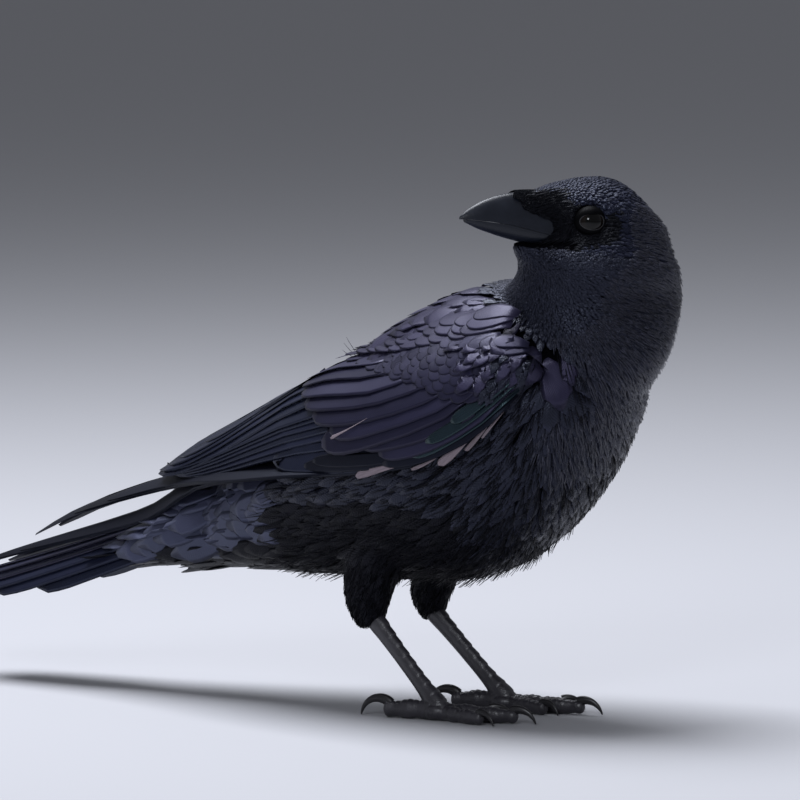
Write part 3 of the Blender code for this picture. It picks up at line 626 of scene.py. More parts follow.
# %% [markdown]
# ## A feather
#
# A contour feather is a thin curved plate: a midline, a width that swells and closes, edges that droop
# so that each tucks under its neighbours, and barbs that come apart at the tip. Thousands are needed,
# so one function builds them all at once from arrays of midlines. Each row across a vane has a few
# points on top and one below the shaft, and caps close both ends, so every vane is a tiny solid.

# %% Build many vanes as one mesh
def vanes(name, spine, up, half, finish_with, maps, look):
    """spine and up are (feathers, rows, 3), half the widest half breadth, maps the roots' places."""
    many, rows = spine.shape[:2]
    columns = np.linspace(-1, 1, look.get("columns", 5))
    steps = np.linalg.norm(np.diff(spine, axis=1), axis=2)
    length = np.maximum(steps.sum(1), 1e-3)
    share = np.concatenate((np.zeros((many, 1)), np.cumsum(steps, axis=1)), 1) / length[:, None]
    far = share[..., None]
    along = unit(np.gradient(spine, axis=1))
    aside = unit(np.cross(up, along))
    up = np.cross(along, aside)
    w = half[:, None, None] * np.interp(share, *zip(*look["widths"]))[..., None] * columns
    fray = dice.normal(0, look["fringe"], (many, 1, len(columns))) * far**5
    back = look["round"] * columns**2 * far**3 + np.abs(fray)
    over = look["ridge"] * (columns == 0) * (1 - 0.8 * far) - look["cup"] * np.abs(w * columns)
    over = over + look.get("tilt", 0.0) * w
    top = (
        spine[:, :, None, :]
        + aside[:, :, None, :] * (w * (1 + fray))[..., None]
        + up[:, :, None, :] * over[..., None]
        - along[:, :, None, :] * (back * length[:, None, None])[..., None]
    )
    below = spine - up * look["thick"] - along * (look["round"] * 0.3 * far**3) * length[:, None, None]
    points = np.concatenate((top, below[:, :, None, :]), 2)
    ring = len(columns) + 1
    r, c = np.meshgrid(np.arange(rows - 1), np.arange(ring), indexing="ij")
    one = (r * ring + c).ravel()
    two = (r * ring + (c + 1) % ring).ravel()
    sides = np.stack((one, one + ring, two + ring, two), 1)
    caps = np.stack((np.arange(ring), (rows - 1) * ring + np.arange(ring)[::-1]))
    offset = np.arange(many) * rows * ring
    loops = np.concatenate([
        (sides[None] + offset[:, None, None]).reshape(many, -1),
        (caps[None] + offset[:, None, None]).reshape(many, -1),
    ], 1).ravel()
    starts_one = np.concatenate((np.arange(len(sides)) * 4, len(sides) * 4 + np.arange(2) * ring))
    per = len(sides) * 4 + 2 * ring
    starts = (np.arange(many)[:, None] * per + starts_one[None]).ravel()
    mesh = bpy.data.meshes.new(name)
    mesh.vertices.add(many * rows * ring)
    mesh.vertices.foreach_set("co", in_place(points.reshape(-1, 3)).ravel())
    mesh.loops.add(len(loops))
    mesh.loops.foreach_set("vertex_index", loops.astype(np.int32))
    mesh.polygons.add(len(starts))
    mesh.polygons.foreach_set("loop_start", starts.astype(np.int32))
    mesh.update(calc_edges=True)
    tone = np.repeat(dice.random(many), rows * ring)
    # rim: each point's share of the vane's edges and tip, where the finishes paint shade between feathers,
    # and on body and rump paint highlights.
    edge = np.maximum(np.abs(columns) ** 3, far**8) * far**0.5
    edge = np.concatenate((edge, np.zeros((many, rows, 1))), 2)
    for kind, values in (("tone", tone), ("rim", edge)):
        layer = mesh.attributes.new(kind, "FLOAT", "POINT")
        layer.data.foreach_set("value", values.ravel().astype(np.float32))
    flat_w = np.concatenate((w, np.zeros((many, rows, 1))), 2)
    flat_s = np.broadcast_to(far * length[:, None, None], flat_w.shape)
    vane_map = np.stack((flat_w, flat_s), -1).reshape(-1, 2) / 10
    layer = mesh.uv_layers.new(name="Vane")
    layer.data.foreach_set("uv", vane_map[loops].astype(np.float32).ravel())
    spread = np.concatenate((columns, [0.0]))
    patch = np.stack(np.broadcast_arrays(spread, far * 2 - 1), -1)
    size = look.get("patch", (0.0015, 0.0015))
    bake_map(mesh, (maps[:, None, None, :] + patch * np.array(size)).reshape(-1, 2))
    mesh.shade_smooth()
    mesh.materials.append(finish_with)
    made = linked(name, mesh)
    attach(made, "root")
    return made


CONTOUR = {
    "columns": 7, "round": 0.13, "fringe": 0.07, "cup": 0.08, "ridge": 0.04, "thick": 0.15,
    "widths": ((0, 0.3), (0.3, 0.8), (0.65, 1.0), (0.88, 0.8), (1, 0.35)),
}
BROAD = CONTOUR | {
    "round": 0.17, "fringe": 0.04, "cup": 0.10,
    "widths": ((0, 0.35), (0.3, 0.85), (0.6, 1.0), (0.85, 0.92), (1, 0.55)),
}
SMOOTH = BROAD | {"fringe": 0.015, "cup": 0.06}
TINY = CONTOUR | {"columns": 3, "thick": 0.12, "ridge": 0.0, "fringe": 0.08}
STRAND = {
    "columns": 2, "round": 0.0, "fringe": 0.0, "cup": 0.0, "ridge": 0.0, "thick": 0.2,
    "widths": ((0, 0.7), (0.5, 1.0), (0.8, 0.7), (1, 0.08)),
}

# %% [markdown]
# ## Where the feathers root
#
# Roots are thrown at random over the coat and thinned: one that lands too near a kept one is dropped,
# with the allowed distance set by the size of the feathers there. It gives an even, natural cover
# with no rows. The eyes' openings stay bare, and so do the wings behind their front, which have rows
# of feathers of their own.

# %% Scatter the roots
CROWD = 0.34  # distance between roots, as a share of the root of length times breadth
THROWS = 90000
EYE_OPEN = 5.0
WING_FRONT = 50.0  # the breast's feathers close over the wing ahead of this
over_root = (coat[:, 0] > 38) & (coat[:, 2] > 160)  # the mantle laps over the front of the wing's root
flesh_face = ~(on_wing & (coat[:, 0] < WING_FRONT) & ~over_root)[corners].any(1)
face_spacing = CROWD * np.sqrt(sizes[corners, 1].mean(1) * sizes[corners, 2].mean(1))
odds = np.where(flesh_face, face_area / face_spacing**2, 0)
chosen = dice.choice(len(corners), THROWS, p=odds / odds.sum())
mix = dice.dirichlet((1, 1, 1), THROWS)
thrown = (tri[chosen] * mix[..., None]).sum(1)
spacing = face_spacing[chosen]
grid = KDTree(THROWS)
for k, p in enumerate(thrown):
    grid.insert(p, k)
grid.balance()
free = np.ones(THROWS, bool)
for side in ("left", "right"):
    rim = Vector(from_head((EYE_AT[0], (1 if side == "left" else -1) * (EYE_SPREAD + 4), EYE_AT[1])))
    for _, k, _ in grid.find_range(rim, EYE_OPEN):
        free[k] = False
bare = ~free
kept = []
for k in range(THROWS):
    if free[k]:
        kept.append(k)
        for _, other, _ in grid.find_range(thrown[k], spacing[k]):
            free[other] = False
kept = np.array(kept)
print(len(kept), "feathers rooted")

# %% [markdown]
# ## Lay the coat
#
# Each feather starts at the skin and is walked over the surface along the lie, a fifth of its length
# at a time, while it climbs steadily to the outside of the coat. So the next one always passes over
# its root, as shingles do.

# %% Walk the midlines
def at_surface(points):
    """Nearest places on the coat with normal, lie and depth there."""
    found = [coat_tree.find_nearest(Vector(p)) for p in points]
    spots = np.array([f[0] for f in found])
    face = np.array([f[2] for f in found])
    a, b, c = coat[corners[face, 0]], coat[corners[face, 1]], coat[corners[face, 2]]
    area = np.maximum(np.linalg.norm(np.cross(b - a, c - a), axis=1), 1e-9)
    wa = np.linalg.norm(np.cross(b - spots, c - spots), axis=1) / area
    wb = np.linalg.norm(np.cross(c - spots, a - spots), axis=1) / area
    parts = np.stack((wa, wb, np.maximum(0, 1 - wa - wb)), 1)[..., None]

    def read(values):
        return (values[corners[face]] * parts).sum(1)

    return spots, unit(read(normal)), unit(read(lie)), read(sizes), read(smooth_walk[:, None])[:, 0]


ROWS = 6
WANDER = 0.09


def turned(v, axis, angle):
    return v * np.cos(angle)[:, None] + np.cross(axis, v) * np.sin(angle)[:, None]


def grown(start, up, heading, length, depth, lie_pull=0.7, rise=(-0.5, 0.2), free=-118.0):
    """Midlines of feathers over the coat from their roots; past free, or past an edge, straight on."""
    yaw = dice.normal(0, WANDER, len(start))
    spots, ups, depths = [start], [up], [depth]
    way = turned(heading, up, yaw)
    for _ in range(ROWS - 1):
        step = spots[-1] + way * (length / (ROWS - 1))[:, None]
        spot, above, local_lie, local_size, _w = at_surface(step)
        off = np.linalg.norm(step - spot, axis=1) > 0.35 * length / (ROWS - 1) + 0.6
        off |= (step[:, 0] < free) & (spots[-1][:, 2] > 50)
        spot[off] = step[off]
        above[off] = ups[-1][off]
        depths.append(np.where(off, depths[-1], local_size[:, 0]))
        on = flattened(turned(local_lie, above, yaw) * lie_pull + way * (1 - lie_pull), above)
        way = np.where(off[:, None], way, on)
        spots.append(spot)
        ups.append(above)
    spots, ups, depths = np.stack(spots, 1), np.stack(ups, 1), np.stack(depths, 1)
    share = np.linspace(0, 1, ROWS)
    raised = dice.uniform(*rise, len(start))[:, None] * np.clip(depths / 2.4, 0.2, 1)
    return spots - ups * ((depths + 0.2) * (1 - share) ** 2.0 - raised * share**2)[..., None], ups


start, start_up, start_lie, start_size, start_walk = at_surface(thrown[kept])
rear_root = np.interp(start[:, 0], (-125, -95), (1, 0))[:, None]
drop = np.interp(start[:, 2], (62, 80), (-0.14, -0.30))
rearward = np.stack((drop * 0 - 1, drop * 0, drop), 1)
start_lie = unit(start_lie * (1 - rear_root) + rearward * rear_root)
length = start_size[:, 1] * dice.uniform(0.85, 1.15, len(kept))
spine, ups = grown(start, start_up, start_lie, length, start_size[:, 0])
half = start_size[:, 2] / 2 * dice.uniform(0.9, 1.1, len(kept))
root_map = unrolled(start, start_walk)
root_head = to_head(start)
at_node = nearest_node(start)
print("midlines", spine.shape)

# %% Part the coat into pieces and build them
is_head = at_node == 2
is_thigh = (at_node == 3) | (at_node == 4)
small = half < 1.3
eye_ahead, eye_above = root_head[:, 0] - EYE_AT[0], root_head[:, 2] - EYE_AT[1]
count = len(start)
brow = 4.0 + 0.45 * np.maximum(eye_ahead, 0) + dice.normal(0, 0.7, count)
over_gape = (
    is_head
    & (root_head[:, 0] > 12 + dice.normal(0, 0.8, count))
    & (root_head[:, 2] > -12.5 + dice.normal(0, 0.7, count))
    & (root_head[:, 2] < -5.8 + 0.14 * (root_head[:, 0] - 12))
)
is_head = is_head & ~over_gape
is_mask = (
    is_head
    & (eye_ahead > -8.5 + dice.normal(0, 0.6, count))
    & (eye_above < brow)
    & (eye_above > -9 - 0.25 * np.maximum(eye_ahead, 0) + dice.normal(0, 1, count))
)
at_bend = (start[:, 0] > 46) & (start[:, 2] < 158) & (np.abs(start[:, 1]) > 25)
# Feathers facing up, over the back, take the lighter back finish: painted light.
is_lit_back = (start_up[:, 2] > 0.15) & (half > 2.6) & ~at_bend
# Feathers facing down, under the body, take the darker underside finish: painted shade.
faces_down = np.where(start[:, 0] < -66, -0.6, -0.25) + 0.1 * np.sin(start[:, 0])
is_shaded_under = (start_up[:, 2] < faces_down) & (start[:, 2] < 100) & (at_node == 0) & (start[:, 0] < 30)
# The rump's upper side takes the lighter rump finish: painted light.
is_lit_rear = (start[:, 0] < -66) & ~is_thigh & ~is_shaded_under & (start[:, 2] > 62 + 4 * np.sin(start[:, 0]))
trunk = ~is_shaded_under & ~is_head & ~is_thigh & ~is_lit_rear & ~is_lit_back & ~over_gape
is_neck = trunk & (half < 2.6)
neck_middle = np.median(start[is_neck, 2])  # the neck holds the most feathers, so it's two pieces
coat_parts = (
    ("mask_feathers", is_mask, TINY, MASK),
    ("face_feathers", is_head & ~is_mask & small, TINY, HEAD),
    ("cheek_and_nape_feathers", is_head & ~is_mask & ~small, CONTOUR, HEAD),
    ("neck_feathers_upper", is_neck & (start[:, 2] > neck_middle), CONTOUR, BODY),
    ("neck_feathers_lower", is_neck & (start[:, 2] <= neck_middle), CONTOUR, BODY),
    ("breast_feathers", trunk & (half >= 2.6) & (start[:, 0] > 10), BROAD, BODY),
    ("belly_feathers", trunk & (half >= 2.6) & (start[:, 0] <= 10), BROAD, BODY),
    ("mantle_feathers", is_lit_back & ~is_head & ~is_thigh & ~is_lit_rear, SMOOTH, LIT_BACK),
    ("rump_feathers", is_lit_rear, SMOOTH, LIT_RUMP),
    ("under_feathers", is_shaded_under, BROAD, SHADED_UNDERSIDE),
    ("thigh_feathers", is_thigh, CONTOUR, SHADED_UNDERSIDE),
)
for name, chosen, look, finish_with in coat_parts:
    made = vanes(name, spine[chosen], ups[chosen], half[chosen], finish_with, root_map[chosen], look)
    print(name, int(chosen.sum()), "feathers,", len(made.data.polygons), "faces")

# %% [markdown]
# ## Loose barbs and bristles
#
# The barbs of throat, breast, belly and thigh come apart, so that they look like glossy hair and give
# the outline a soft edge. Fine strands stand for them, rooted among the feathers. Longer ones hang in
# tufts under the vent and before the thighs. Three loose hairs stand up at the back, and stiff black
# bristles lie forward from the face over the root of the bill.

# %% Strands
def strands(name, roots, length, breadth, heading, finish_with, **growth):
    """Strands from these roots on the coat; heading is one direction, or none for the coat's own lie."""
    spot, up, along, size, gone = at_surface(roots)
    if heading is not None:
        along = flattened(np.asarray(heading, float), up)
    line, above = grown(spot, up, along, length, size[:, 0] * 0.5, **growth)
    some = [0, 1, 3, 5]
    maps = unrolled(spot, gone)
    made = vanes(name, line[:, some], above[:, some], breadth / 2, finish_with, maps, STRAND)
    print(name, len(roots), "strands,", len(made.data.polygons), "faces")


pool = thrown[~bare]
pool = pool[dice.permutation(len(pool))[:45000]]
_spot, pool_up, _lie, pool_size, _gone = at_surface(pool)
pool_node = nearest_node(pool)
pool_head = to_head(pool)
throat_from = np.where(np.abs(pool[:, 1]) > 26, 60, 5)  # farther forward beside the wings
on_throat = (pool_node <= 2) & (pool_size[:, 1] > 6.5) & (pool_size[:, 2] < 5.5)
on_throat = on_throat & (pool_up[:, 2] < 0.6) & (pool[:, 0] > throat_from)
on_belly = (pool_node == 0) & (pool_up[:, 2] < 0.25) & (pool[:, 0] > -74) & ~on_throat
on_legs = (pool_node == 3) | (pool_node == 4)
# The throat's strands take the lighter hair finish, painted glints. Those of belly and thigh take the
# darker underside finish, painted shade.
for name, where, number, breadth, rise, finish_with in (
    ("throat_barbs", on_throat, 4200, 0.75, (0.0, 0.9), GLINT_HAIR),
    ("belly_barbs", on_belly, 3600, 0.5, (0.0, 0.7), SHADED_UNDERSIDE),
    ("thigh_barbs", on_legs, 1500, 0.45, (0.1, 0.9), SHADED_UNDERSIDE),
):
    which = np.flatnonzero(where)[:number]
    size = pool_size[which]
    reach = size[:, 1] * dice.uniform(0.5, 0.9, len(which))
    breadths = breadth * dice.uniform(0.7, 1.3, len(which))
    strands(name, pool[which], reach, breadths, None, finish_with, rise=rise)
is_vent = (pool_node == 0) & (pool_up[:, 2] < -0.55) & (pool[:, 0] > -78) & (pool[:, 0] < 44)
hang = np.flatnonzero(is_vent)[:900]
# The vent's tufts take the darker underside finish: painted shade.
strands("vent_tufts", pool[hang], dice.uniform(9, 17, len(hang)), dice.uniform(0.5, 0.9, len(hang)),
        (-1, 0, 0), SHADED_UNDERSIDE, rise=(0.6, 4.0))
FILOPLUMES = (  # root, direction, length
    ((-50, -14, 155.5), (-9, 0.6, 8.5), 9.5), ((-51, -14, 155), (-9, -0.4, 6.0), 8.0),
    ((-52, -14, 154.5), (-9, 0.0, 2.5), 7.0),
)
share = np.linspace(0, 1, 6)
hairs = np.array([
    np.array(root) + np.outer(share, unit(np.array(way, float)) * long) for root, way, long in FILOPLUMES
])
hairs = hairs + np.outer(share**2, (0, 0, 1.2))
hair_maps = unrolled(hairs[:, 0], np.full(len(hairs), 150.0))
hair_sides = np.zeros_like(hairs) + (0, -1.0, 0)
# The filoplumes take the lighter hair finish: painted glints.
plumes = vanes("filoplumes", hairs, hair_sides, np.full(len(hairs), 0.14), GLINT_HAIR, hair_maps, STRAND)
f, left, u = pool_head.T
over_nostril = (f > 1) & (f < 27) & (u > -7.0 + 0.15 * f) & (pool_node == 2) & (u < 15 - 0.12 * f)
nasal = np.flatnonzero(over_nostril & (np.abs(left) > 1.2))[:1700]
reach = np.minimum(15.0, 34.5 - pool_head[nasal, 0]) * dice.uniform(0.8, 1.0, len(nasal))
strands("nasal_bristles", pool[nasal], reach, dice.uniform(0.55, 0.85, len(nasal)),
        head_axes[0] - 0.12 * head_axes[2], MASK, lie_pull=0.0, rise=(0.3, 1.0), free=-999.0)

# %% [markdown]
# ## The folded wing's sheet
#
# A folded wing is a shallow dish. Its sheet is read from two edges and how far it bulges between them:
# x runs along the body and across goes from the upper edge, 0, to the lower, 1. Every wing feather is
# a path on this sheet with a height over it, so the tracts lap like the real ones.

# %% The sheet
WING_UPPER_EDGE = (
    (63, -38, 160), (50, -39, 170), (20, -38, 169.5), (-16, -31, 162), (-52, -12, 154.5),
    (-78, -3.6, 144.2), (-117, -3, 124), (-140, -3, 112.6), (-158, -4.5, 101.3),
)
WING_LOWER_EDGE = (
    (63, -40, 154), (55, -48, 142), (42, -54, 127.5), (24, -57.5, 116.5), (-8, -59, 109),
    (-40, -55, 105), (-78, -47, 102), (-106, -37, 98.5), (-140, -25, 93.5), (-158, -18, 91),
)
WING_NOSE = 58.0  # the wing's front, under the breast's feathers
WING_BULGE = ((63, 1.5), (50, 5), (20, 8), (-16, 10), (-52, 14), (-85, 11), (-120, 7), (-158, 3.5))


def wing_sheet(x, across, height):
    """Points of the right wing's sheet and the normals there, for arrays of places."""
    shape = np.shape(x)
    x, t, h = (np.ravel(np.broadcast_to(v, shape)).astype(float) for v in (x, across, height))
    upper, lower = through(WING_UPPER_EDGE, x)[:, 1:], through(WING_LOWER_EDGE, x)[:, 1:]
    chord = lower - upper
    outward = unit(np.stack((chord[:, 1], -chord[:, 0]), 1))
    control = (upper + lower) / 2 + outward * through(WING_BULGE, x)[:, 1:] * 2
    t = t[:, None]
    spot = upper * (1 - t) ** 2 + control * 2 * t * (1 - t) + lower * t**2
    down = unit((control - upper) * (1 - t) + (lower - control) * t)
    out = np.stack((down[:, 1], -down[:, 0]), 1)
    spot = spot + out * h[:, None]
    points = np.concatenate((x[:, None], spot), 1)
    return points.reshape(*shape, 3), np.concatenate((x[:, None] * 0, out), 1).reshape(*shape, 3)


ALONG = np.array((0, 0.22, 0.42, 0.6, 0.74, 0.84, 0.91, 0.96, 1.0))  # rows crowd at the tip, to round it


def laid(table, low, high, jitter=0.0):
    """Midlines on the sheet of feathers given by what is seen of them, their lower edges.

    A row of the table: x and place across at the root, the middle and the tip, and half the breadth."""
    table = np.array(table, float)
    table = table + dice.normal(0, 1, table.shape) * np.array((1, 0.012) * 3 + (0.3,)) * jitter
    half = table[:, 6]
    s = ALONG[None, :, None]
    root, middle, tip = (table[:, None, k : k + 2] for k in (0, 2, 4))
    path = root * (1 - s) * (1 - 2 * s) + middle * 4 * s * (1 - s) + tip * s * (2 * s - 1)
    x = np.minimum(path[..., 0], WING_NOSE)
    lower, upper = (through(edge, x.ravel())[:, 1:] for edge in (WING_LOWER_EDGE, WING_UPPER_EDGE))
    chord = np.linalg.norm(lower - upper, axis=1)
    across = path[..., 1] - half[:, None] / (1.12 * chord.reshape(x.shape))
    low, high = (np.broadcast_to(v, half.shape)[:, None] for v in (low, high))
    points, out = wing_sheet(x, across, low * (1 - ALONG) + high * ALONG)
    return points, out, half


def row_of(count, roots, tips, half, arch=0.0):
    """A table for laid of a row of feathers, from lines of roots and tips."""
    order = np.linspace(0, 1, count)

    def read(keys):
        at, keys = np.linspace(0, 1, len(keys)), np.array(keys)
        return np.stack([np.interp(order, at, keys[:, k]) for k in (0, 1)], 1)

    root, tip = read(roots), read(tips)
    middle = (root + tip) / 2 + (0, arch)
    return np.column_stack((root, middle, tip, np.interp(order, (0, 1), half)))


print("wing sheet at the shoulder", wing_sheet(np.array([40.0]), 0.5, 0)[0].round(1))

# %% [markdown]
# ## Tracts of the wing
#
# A folded wing shows the lower edge of each feather, for the next one up lies on it. So each is given
# by that edge, as x and place across at root, middle and tip, and by half its breadth. From under to
# over come the secondaries, the tertials that close the back, the long hand coverts, the greater
# coverts, and the median and lesser coverts like scales. Scapulars cover the wing's root. The relief
# is low, since a folded wing is nearly smooth.

# %% The rows of wing feathers
LONG = {
    "columns": 9, "round": 0.0, "fringe": 0.0, "cup": 0.03, "ridge": 0.04, "thick": 0.25, "tilt": 0.06,
    "widths": ((0, 0.6), (0.3, 0.95), (0.74, 1.0), (0.84, 0.97), (0.91, 0.86), (0.96, 0.64), (1, 0.22)),
}
SCALE = LONG | {
    "ridge": 0.0, "cup": 0.05, "tilt": 0.02,
    "widths": ((0, 0.45), (0.42, 0.95), (0.6, 1.0), (0.74, 0.96), (0.84, 0.85), (0.93, 0.62), (1, 0.2)),
}
RAGGED = LONG | {
    "columns": 7, "round": -0.05, "fringe": 0.10, "widths": ((0, 0.6), (0.7, 1.0), (0.96, 0.9), (1, 0.7)),
}
SHAFT = LONG | {"widths": ((0, 0.1), (0.5, 0.3), (0.8, 0.7), (0.93, 1.0), (1, 0.5))}
SECONDARIES = (
    (10, 0.97, -30, 0.985, -73, 0.985, 7.4), (0, 0.80, -70, 0.885, -140, 0.955, 6.5),
    (-10, 0.72, -75, 0.84, -146, 0.91, 6.5), (-14, 0.68, -78, 0.80, -150, 0.88, 6.5),
    (-18, 0.65, -80, 0.765, -153, 0.85, 6.5), (-20, 0.62, -82, 0.73, -156, 0.82, 6.8),
    (-22, 0.58, -84, 0.69, -158, 0.79, 7.0),
)
TERTIALS = (
    (-26, 0.52, -88, 0.64, -158, 0.92, 7.5), (-26, 0.43, -86, 0.54, -156, 0.84, 8.0),
    (-26, 0.34, -84, 0.44, -152, 0.76, 8.5), (-26, 0.26, -80, 0.34, -146, 0.66, 8.5),
    (-28, 0.18, -72, 0.26, -132, 0.54, 8.5), (-32, 0.11, -62, 0.16, -108, 0.38, 8.0),
)
HAND_UNDER = (
    (30, 0.99, -20, 0.99, -58, 0.995, 3.2), (24, 0.965, -22, 0.965, -52, 0.97, 3.2),
    (16, 0.94, -18, 0.94, -46, 0.945, 3.2), (56, 0.97, 30, 0.955, -5, 0.98, 3.0),
)
HAND_COVERTS = ((56, 0.91, 38, 0.90, 10, 0.95, 2.6), (56, 0.86, 42, 0.86, 16, 0.92, 2.6))
GREATER_COVERTS = (
    (54, 0.86, 24, 0.895, -7, 0.945, 5.4), (52, 0.78, 16, 0.83, -17, 0.885, 6.6),
    (42, 0.67, 0, 0.79, -41, 0.90, 7.8), (36, 0.61, 0, 0.71, -36, 0.81, 7.6),
    (28, 0.54, -8, 0.64, -49, 0.73, 8.2), (20, 0.46, -16, 0.55, -58, 0.63, 8.4),
    (10, 0.38, -24, 0.45, -64, 0.52, 8.4), (0, 0.30, -32, 0.35, -69, 0.41, 8.2),
    (-12, 0.22, -40, 0.25, -72, 0.30, 7.4),
)
ALULA = ((57, 0.78, 45, 0.82, 18, 0.88, 2.8), (57, 0.68, 47, 0.75, 30, 0.81, 2.8))
MEDIAN_COVERTS = row_of(
    12, ((56, 0.60), (36, 0.42), (4, 0.20), (-24, 0.08)),
    ((41, 0.74), (30, 0.68), (18, 0.56), (4, 0.45), (-12, 0.36), (-29, 0.28), (-48, 0.19)),
    (4.6, 6.0), 0.02,
)


def lesser_coverts():
    """Rows of short scales from the wing's bend, each row lapping the one below."""
    rows = []
    for level in np.linspace(0, 1.2, 6):
        x = np.linspace(49, -14 + 4 * level, 11) + (level * 2.5 % 1) * 4
        edge = np.interp(x, (-20, 0, 20, 40, 60), (0.25, 0.33, 0.46, 0.60, 0.64))
        edge = edge - 0.36 * level * np.interp(x, (0, 60), (0.55, 1))
        half = np.interp(x, (0, 60), (4.6, 3.6))
        rows.append(np.column_stack((
            x + 8, edge - 0.07, x + 1, edge - 0.01, x - 6, edge + 0.02, half, np.full(len(x), level),
        )))
    return np.concatenate(rows)


def scapulars(level, length, half):
    """A row that laps over the wing's root, lower towards the rear."""
    x = np.linspace(46, -36, 11) + dice.normal(0, 1, 11)
    drop = level * np.interp(x, (-36, 34, 58), (1, 1, 0.45))
    tip = drop - 0.02 * (x < 0)
    return np.column_stack((
        x, drop - 0.06, x - length / 2, drop - 0.01, x - length, tip, np.full(len(x), half),
    ))


# Bleached, worn ends of hand feathers that peep out under the wing's edge, and the shaft of a broken one.
WORN_TIPS = (
    (0, 0.98, -9, 0.995, -21, 1.015, 1.7), (22, 0.965, 17, 0.985, 9, 1.005, 0.8),
    (37, 0.95, 31, 1.0, 22, 1.05, 2.3), (45, 0.955, 41, 0.99, 35, 1.03, 1.1),
    (51, 0.97, 47, 0.99, 42, 1.02, 0.7),
)
BARE_SHAFT = ((-14, 0.635, -25, 0.715, -34, 0.775, 0.8),)
lesser = lesser_coverts()
lesser, lesser_level = lesser[:, :7], lesser[:, 7]
WING_TRACTS = (  # name, table, heights at root and tip, unevenness, form, finish
    ("secondaries", SECONDARIES, np.linspace(-1.8, -0.5, 7), np.linspace(-1.2, 0.1, 7), 0.5, LONG, QUILL),
    ("tertials", TERTIALS, np.linspace(-0.3, 0.5, 6), np.linspace(0.3, 0.9, 6), 0.4, LONG, QUILL),
    # The quills under the wing's edge take the near-black quill finish: painted shade.
    ("hand_under", HAND_UNDER, np.linspace(-1.2, -0.3, 4), np.linspace(-1.1, -0.2, 4), 0.3, LONG, SHADED_QUILL),
    ("hand_coverts", HAND_COVERTS, (0.0, 0.4), (0.1, 0.5), 0.2, LONG, HAND),
    ("greater_coverts", GREATER_COVERTS, np.linspace(0.7, 1.4, 9), np.linspace(0.9, 1.6, 9), 0.4, LONG,
     COVERT),
    ("alula", ALULA, (1.3, 1.7), (1.7, 2.1), 0.3, LONG, HAND),
    ("median_coverts", MEDIAN_COVERTS, 1.4, np.linspace(1.9, 2.1, 12), 0.5, SCALE, COVERT),
    ("lesser_coverts", lesser, 1.6 + 0.6 * lesser_level, 2.1 + 0.6 * lesser_level, 0.3, SCALE, COVERT),
    # The scapulars take the lighter back finish: painted light.
    ("scapulars_low", scapulars(0.13, 24, 5.6), 2.0, 3.5, 0.8, SCALE, LIT_BACK),
    ("scapulars_middle", scapulars(0.06, 22, 5.6), 2.3, 3.8, 1.0, SCALE, LIT_BACK),
    ("scapulars_high", scapulars(-0.02, 22, 5.6), 2.5, 4.0, 1.0, SCALE, LIT_BACK),
    ("worn_tips", WORN_TIPS, -0.9, -0.7, 0.0, RAGGED, PALE),
    ("bare_shaft", BARE_SHAFT, 1.9, 2.2, 0.0, SHAFT, PALE),
)


def on_side(points, side):
    """The right wing's places, or their mirror image on the left."""
    return points if side == "right" else points * (1, -1, 1)


def wing_piece(name, side, points, out, half, look, finish_with):
    """The row's vanes on one side, each with a strip of the map of its own."""
    maps, patch = strips(len(points))
    tilt = look.get("tilt", 0.0) * (1 if side == "right" else -1)
    look = look | {"patch": patch, "tilt": tilt}
    points, out = on_side(points, side), on_side(out, side)
    made = vanes(f"wing_{side}_{name}_vanes", points, out, half, finish_with, maps, look)
    return made


wing_pieces = {"left": {}, "right": {}}
for name, table, low, high, jitter, look, finish_with in WING_TRACTS:
    points, out, halves = laid(table, np.asarray(low), np.asarray(high), jitter)
    for side in ("left", "right"):
        wing_pieces[side][name] = wing_piece(name, side, points, out, halves, look, finish_with)
print({name: len(o.data.polygons) for name, o in wing_pieces["right"].items()})

# %% [markdown]
# ## The hand quills
#
# The primaries run along the wing's lower edge, hidden by everything above, and their tips stand out
# behind, over the tail. They part in two blades: the upper three end in one slender point, and under
# a gap that lets light through the longest three reach almost to the tail's end. Each blade is a
# route, and each quill follows it a little lower than the last and stops at its own place. The left
# wing's upper blade sits a little higher, so that both blades don't coincide from the side.

# %% Primaries
HAND_ROUTE = ((-16, -50.5, 112), (-60, -46, 109), (-95, -38, 104.5), (-130, -26, 97))
UPPER_BLADE = HAND_ROUTE[:3] + (
    (-130, -24, 100), (-153, -15, 95), (-172, -12.5, 89.6), (-186, -11.5, 85.2), (-210, -9.5, 77),
    (-233, -9, 65.5),
)
LOWER_BLADE = HAND_ROUTE + (
    (-158, -19, 82), (-186, -15.5, 73.2), (-210, -14, 66.6), (-240, -13, 58.2), (-264, -14, 50.6),
)
# the route, where the tip is, half breadth, how far the face leans out in degrees, step down
PRIMARIES = (
    (UPPER_BLADE, -190, 8.6, 32, -0.6), (UPPER_BLADE, -209, 8.0, 32, 0.2),
    (UPPER_BLADE, -232, 7.2, 34, 1.0), (LOWER_BLADE, -238, 6.0, 42, -0.4),
    (LOWER_BLADE, -252, 5.8, 44, 0.3), (LOWER_BLADE, -264, 5.6, 46, 1.0),
)
LEFT_RISE = 2.5  # how much higher the left wing's upper blade lies


def smooth_path(points, count):
    """A smooth path through the points, at even steps."""
    points = np.array(points, float)
    gone = np.concatenate(([0], np.cumsum(np.linalg.norm(np.diff(points, axis=0), axis=1))))
    return through(np.column_stack((gone, points)), np.linspace(0, gone[-1], count))[:, 1:]


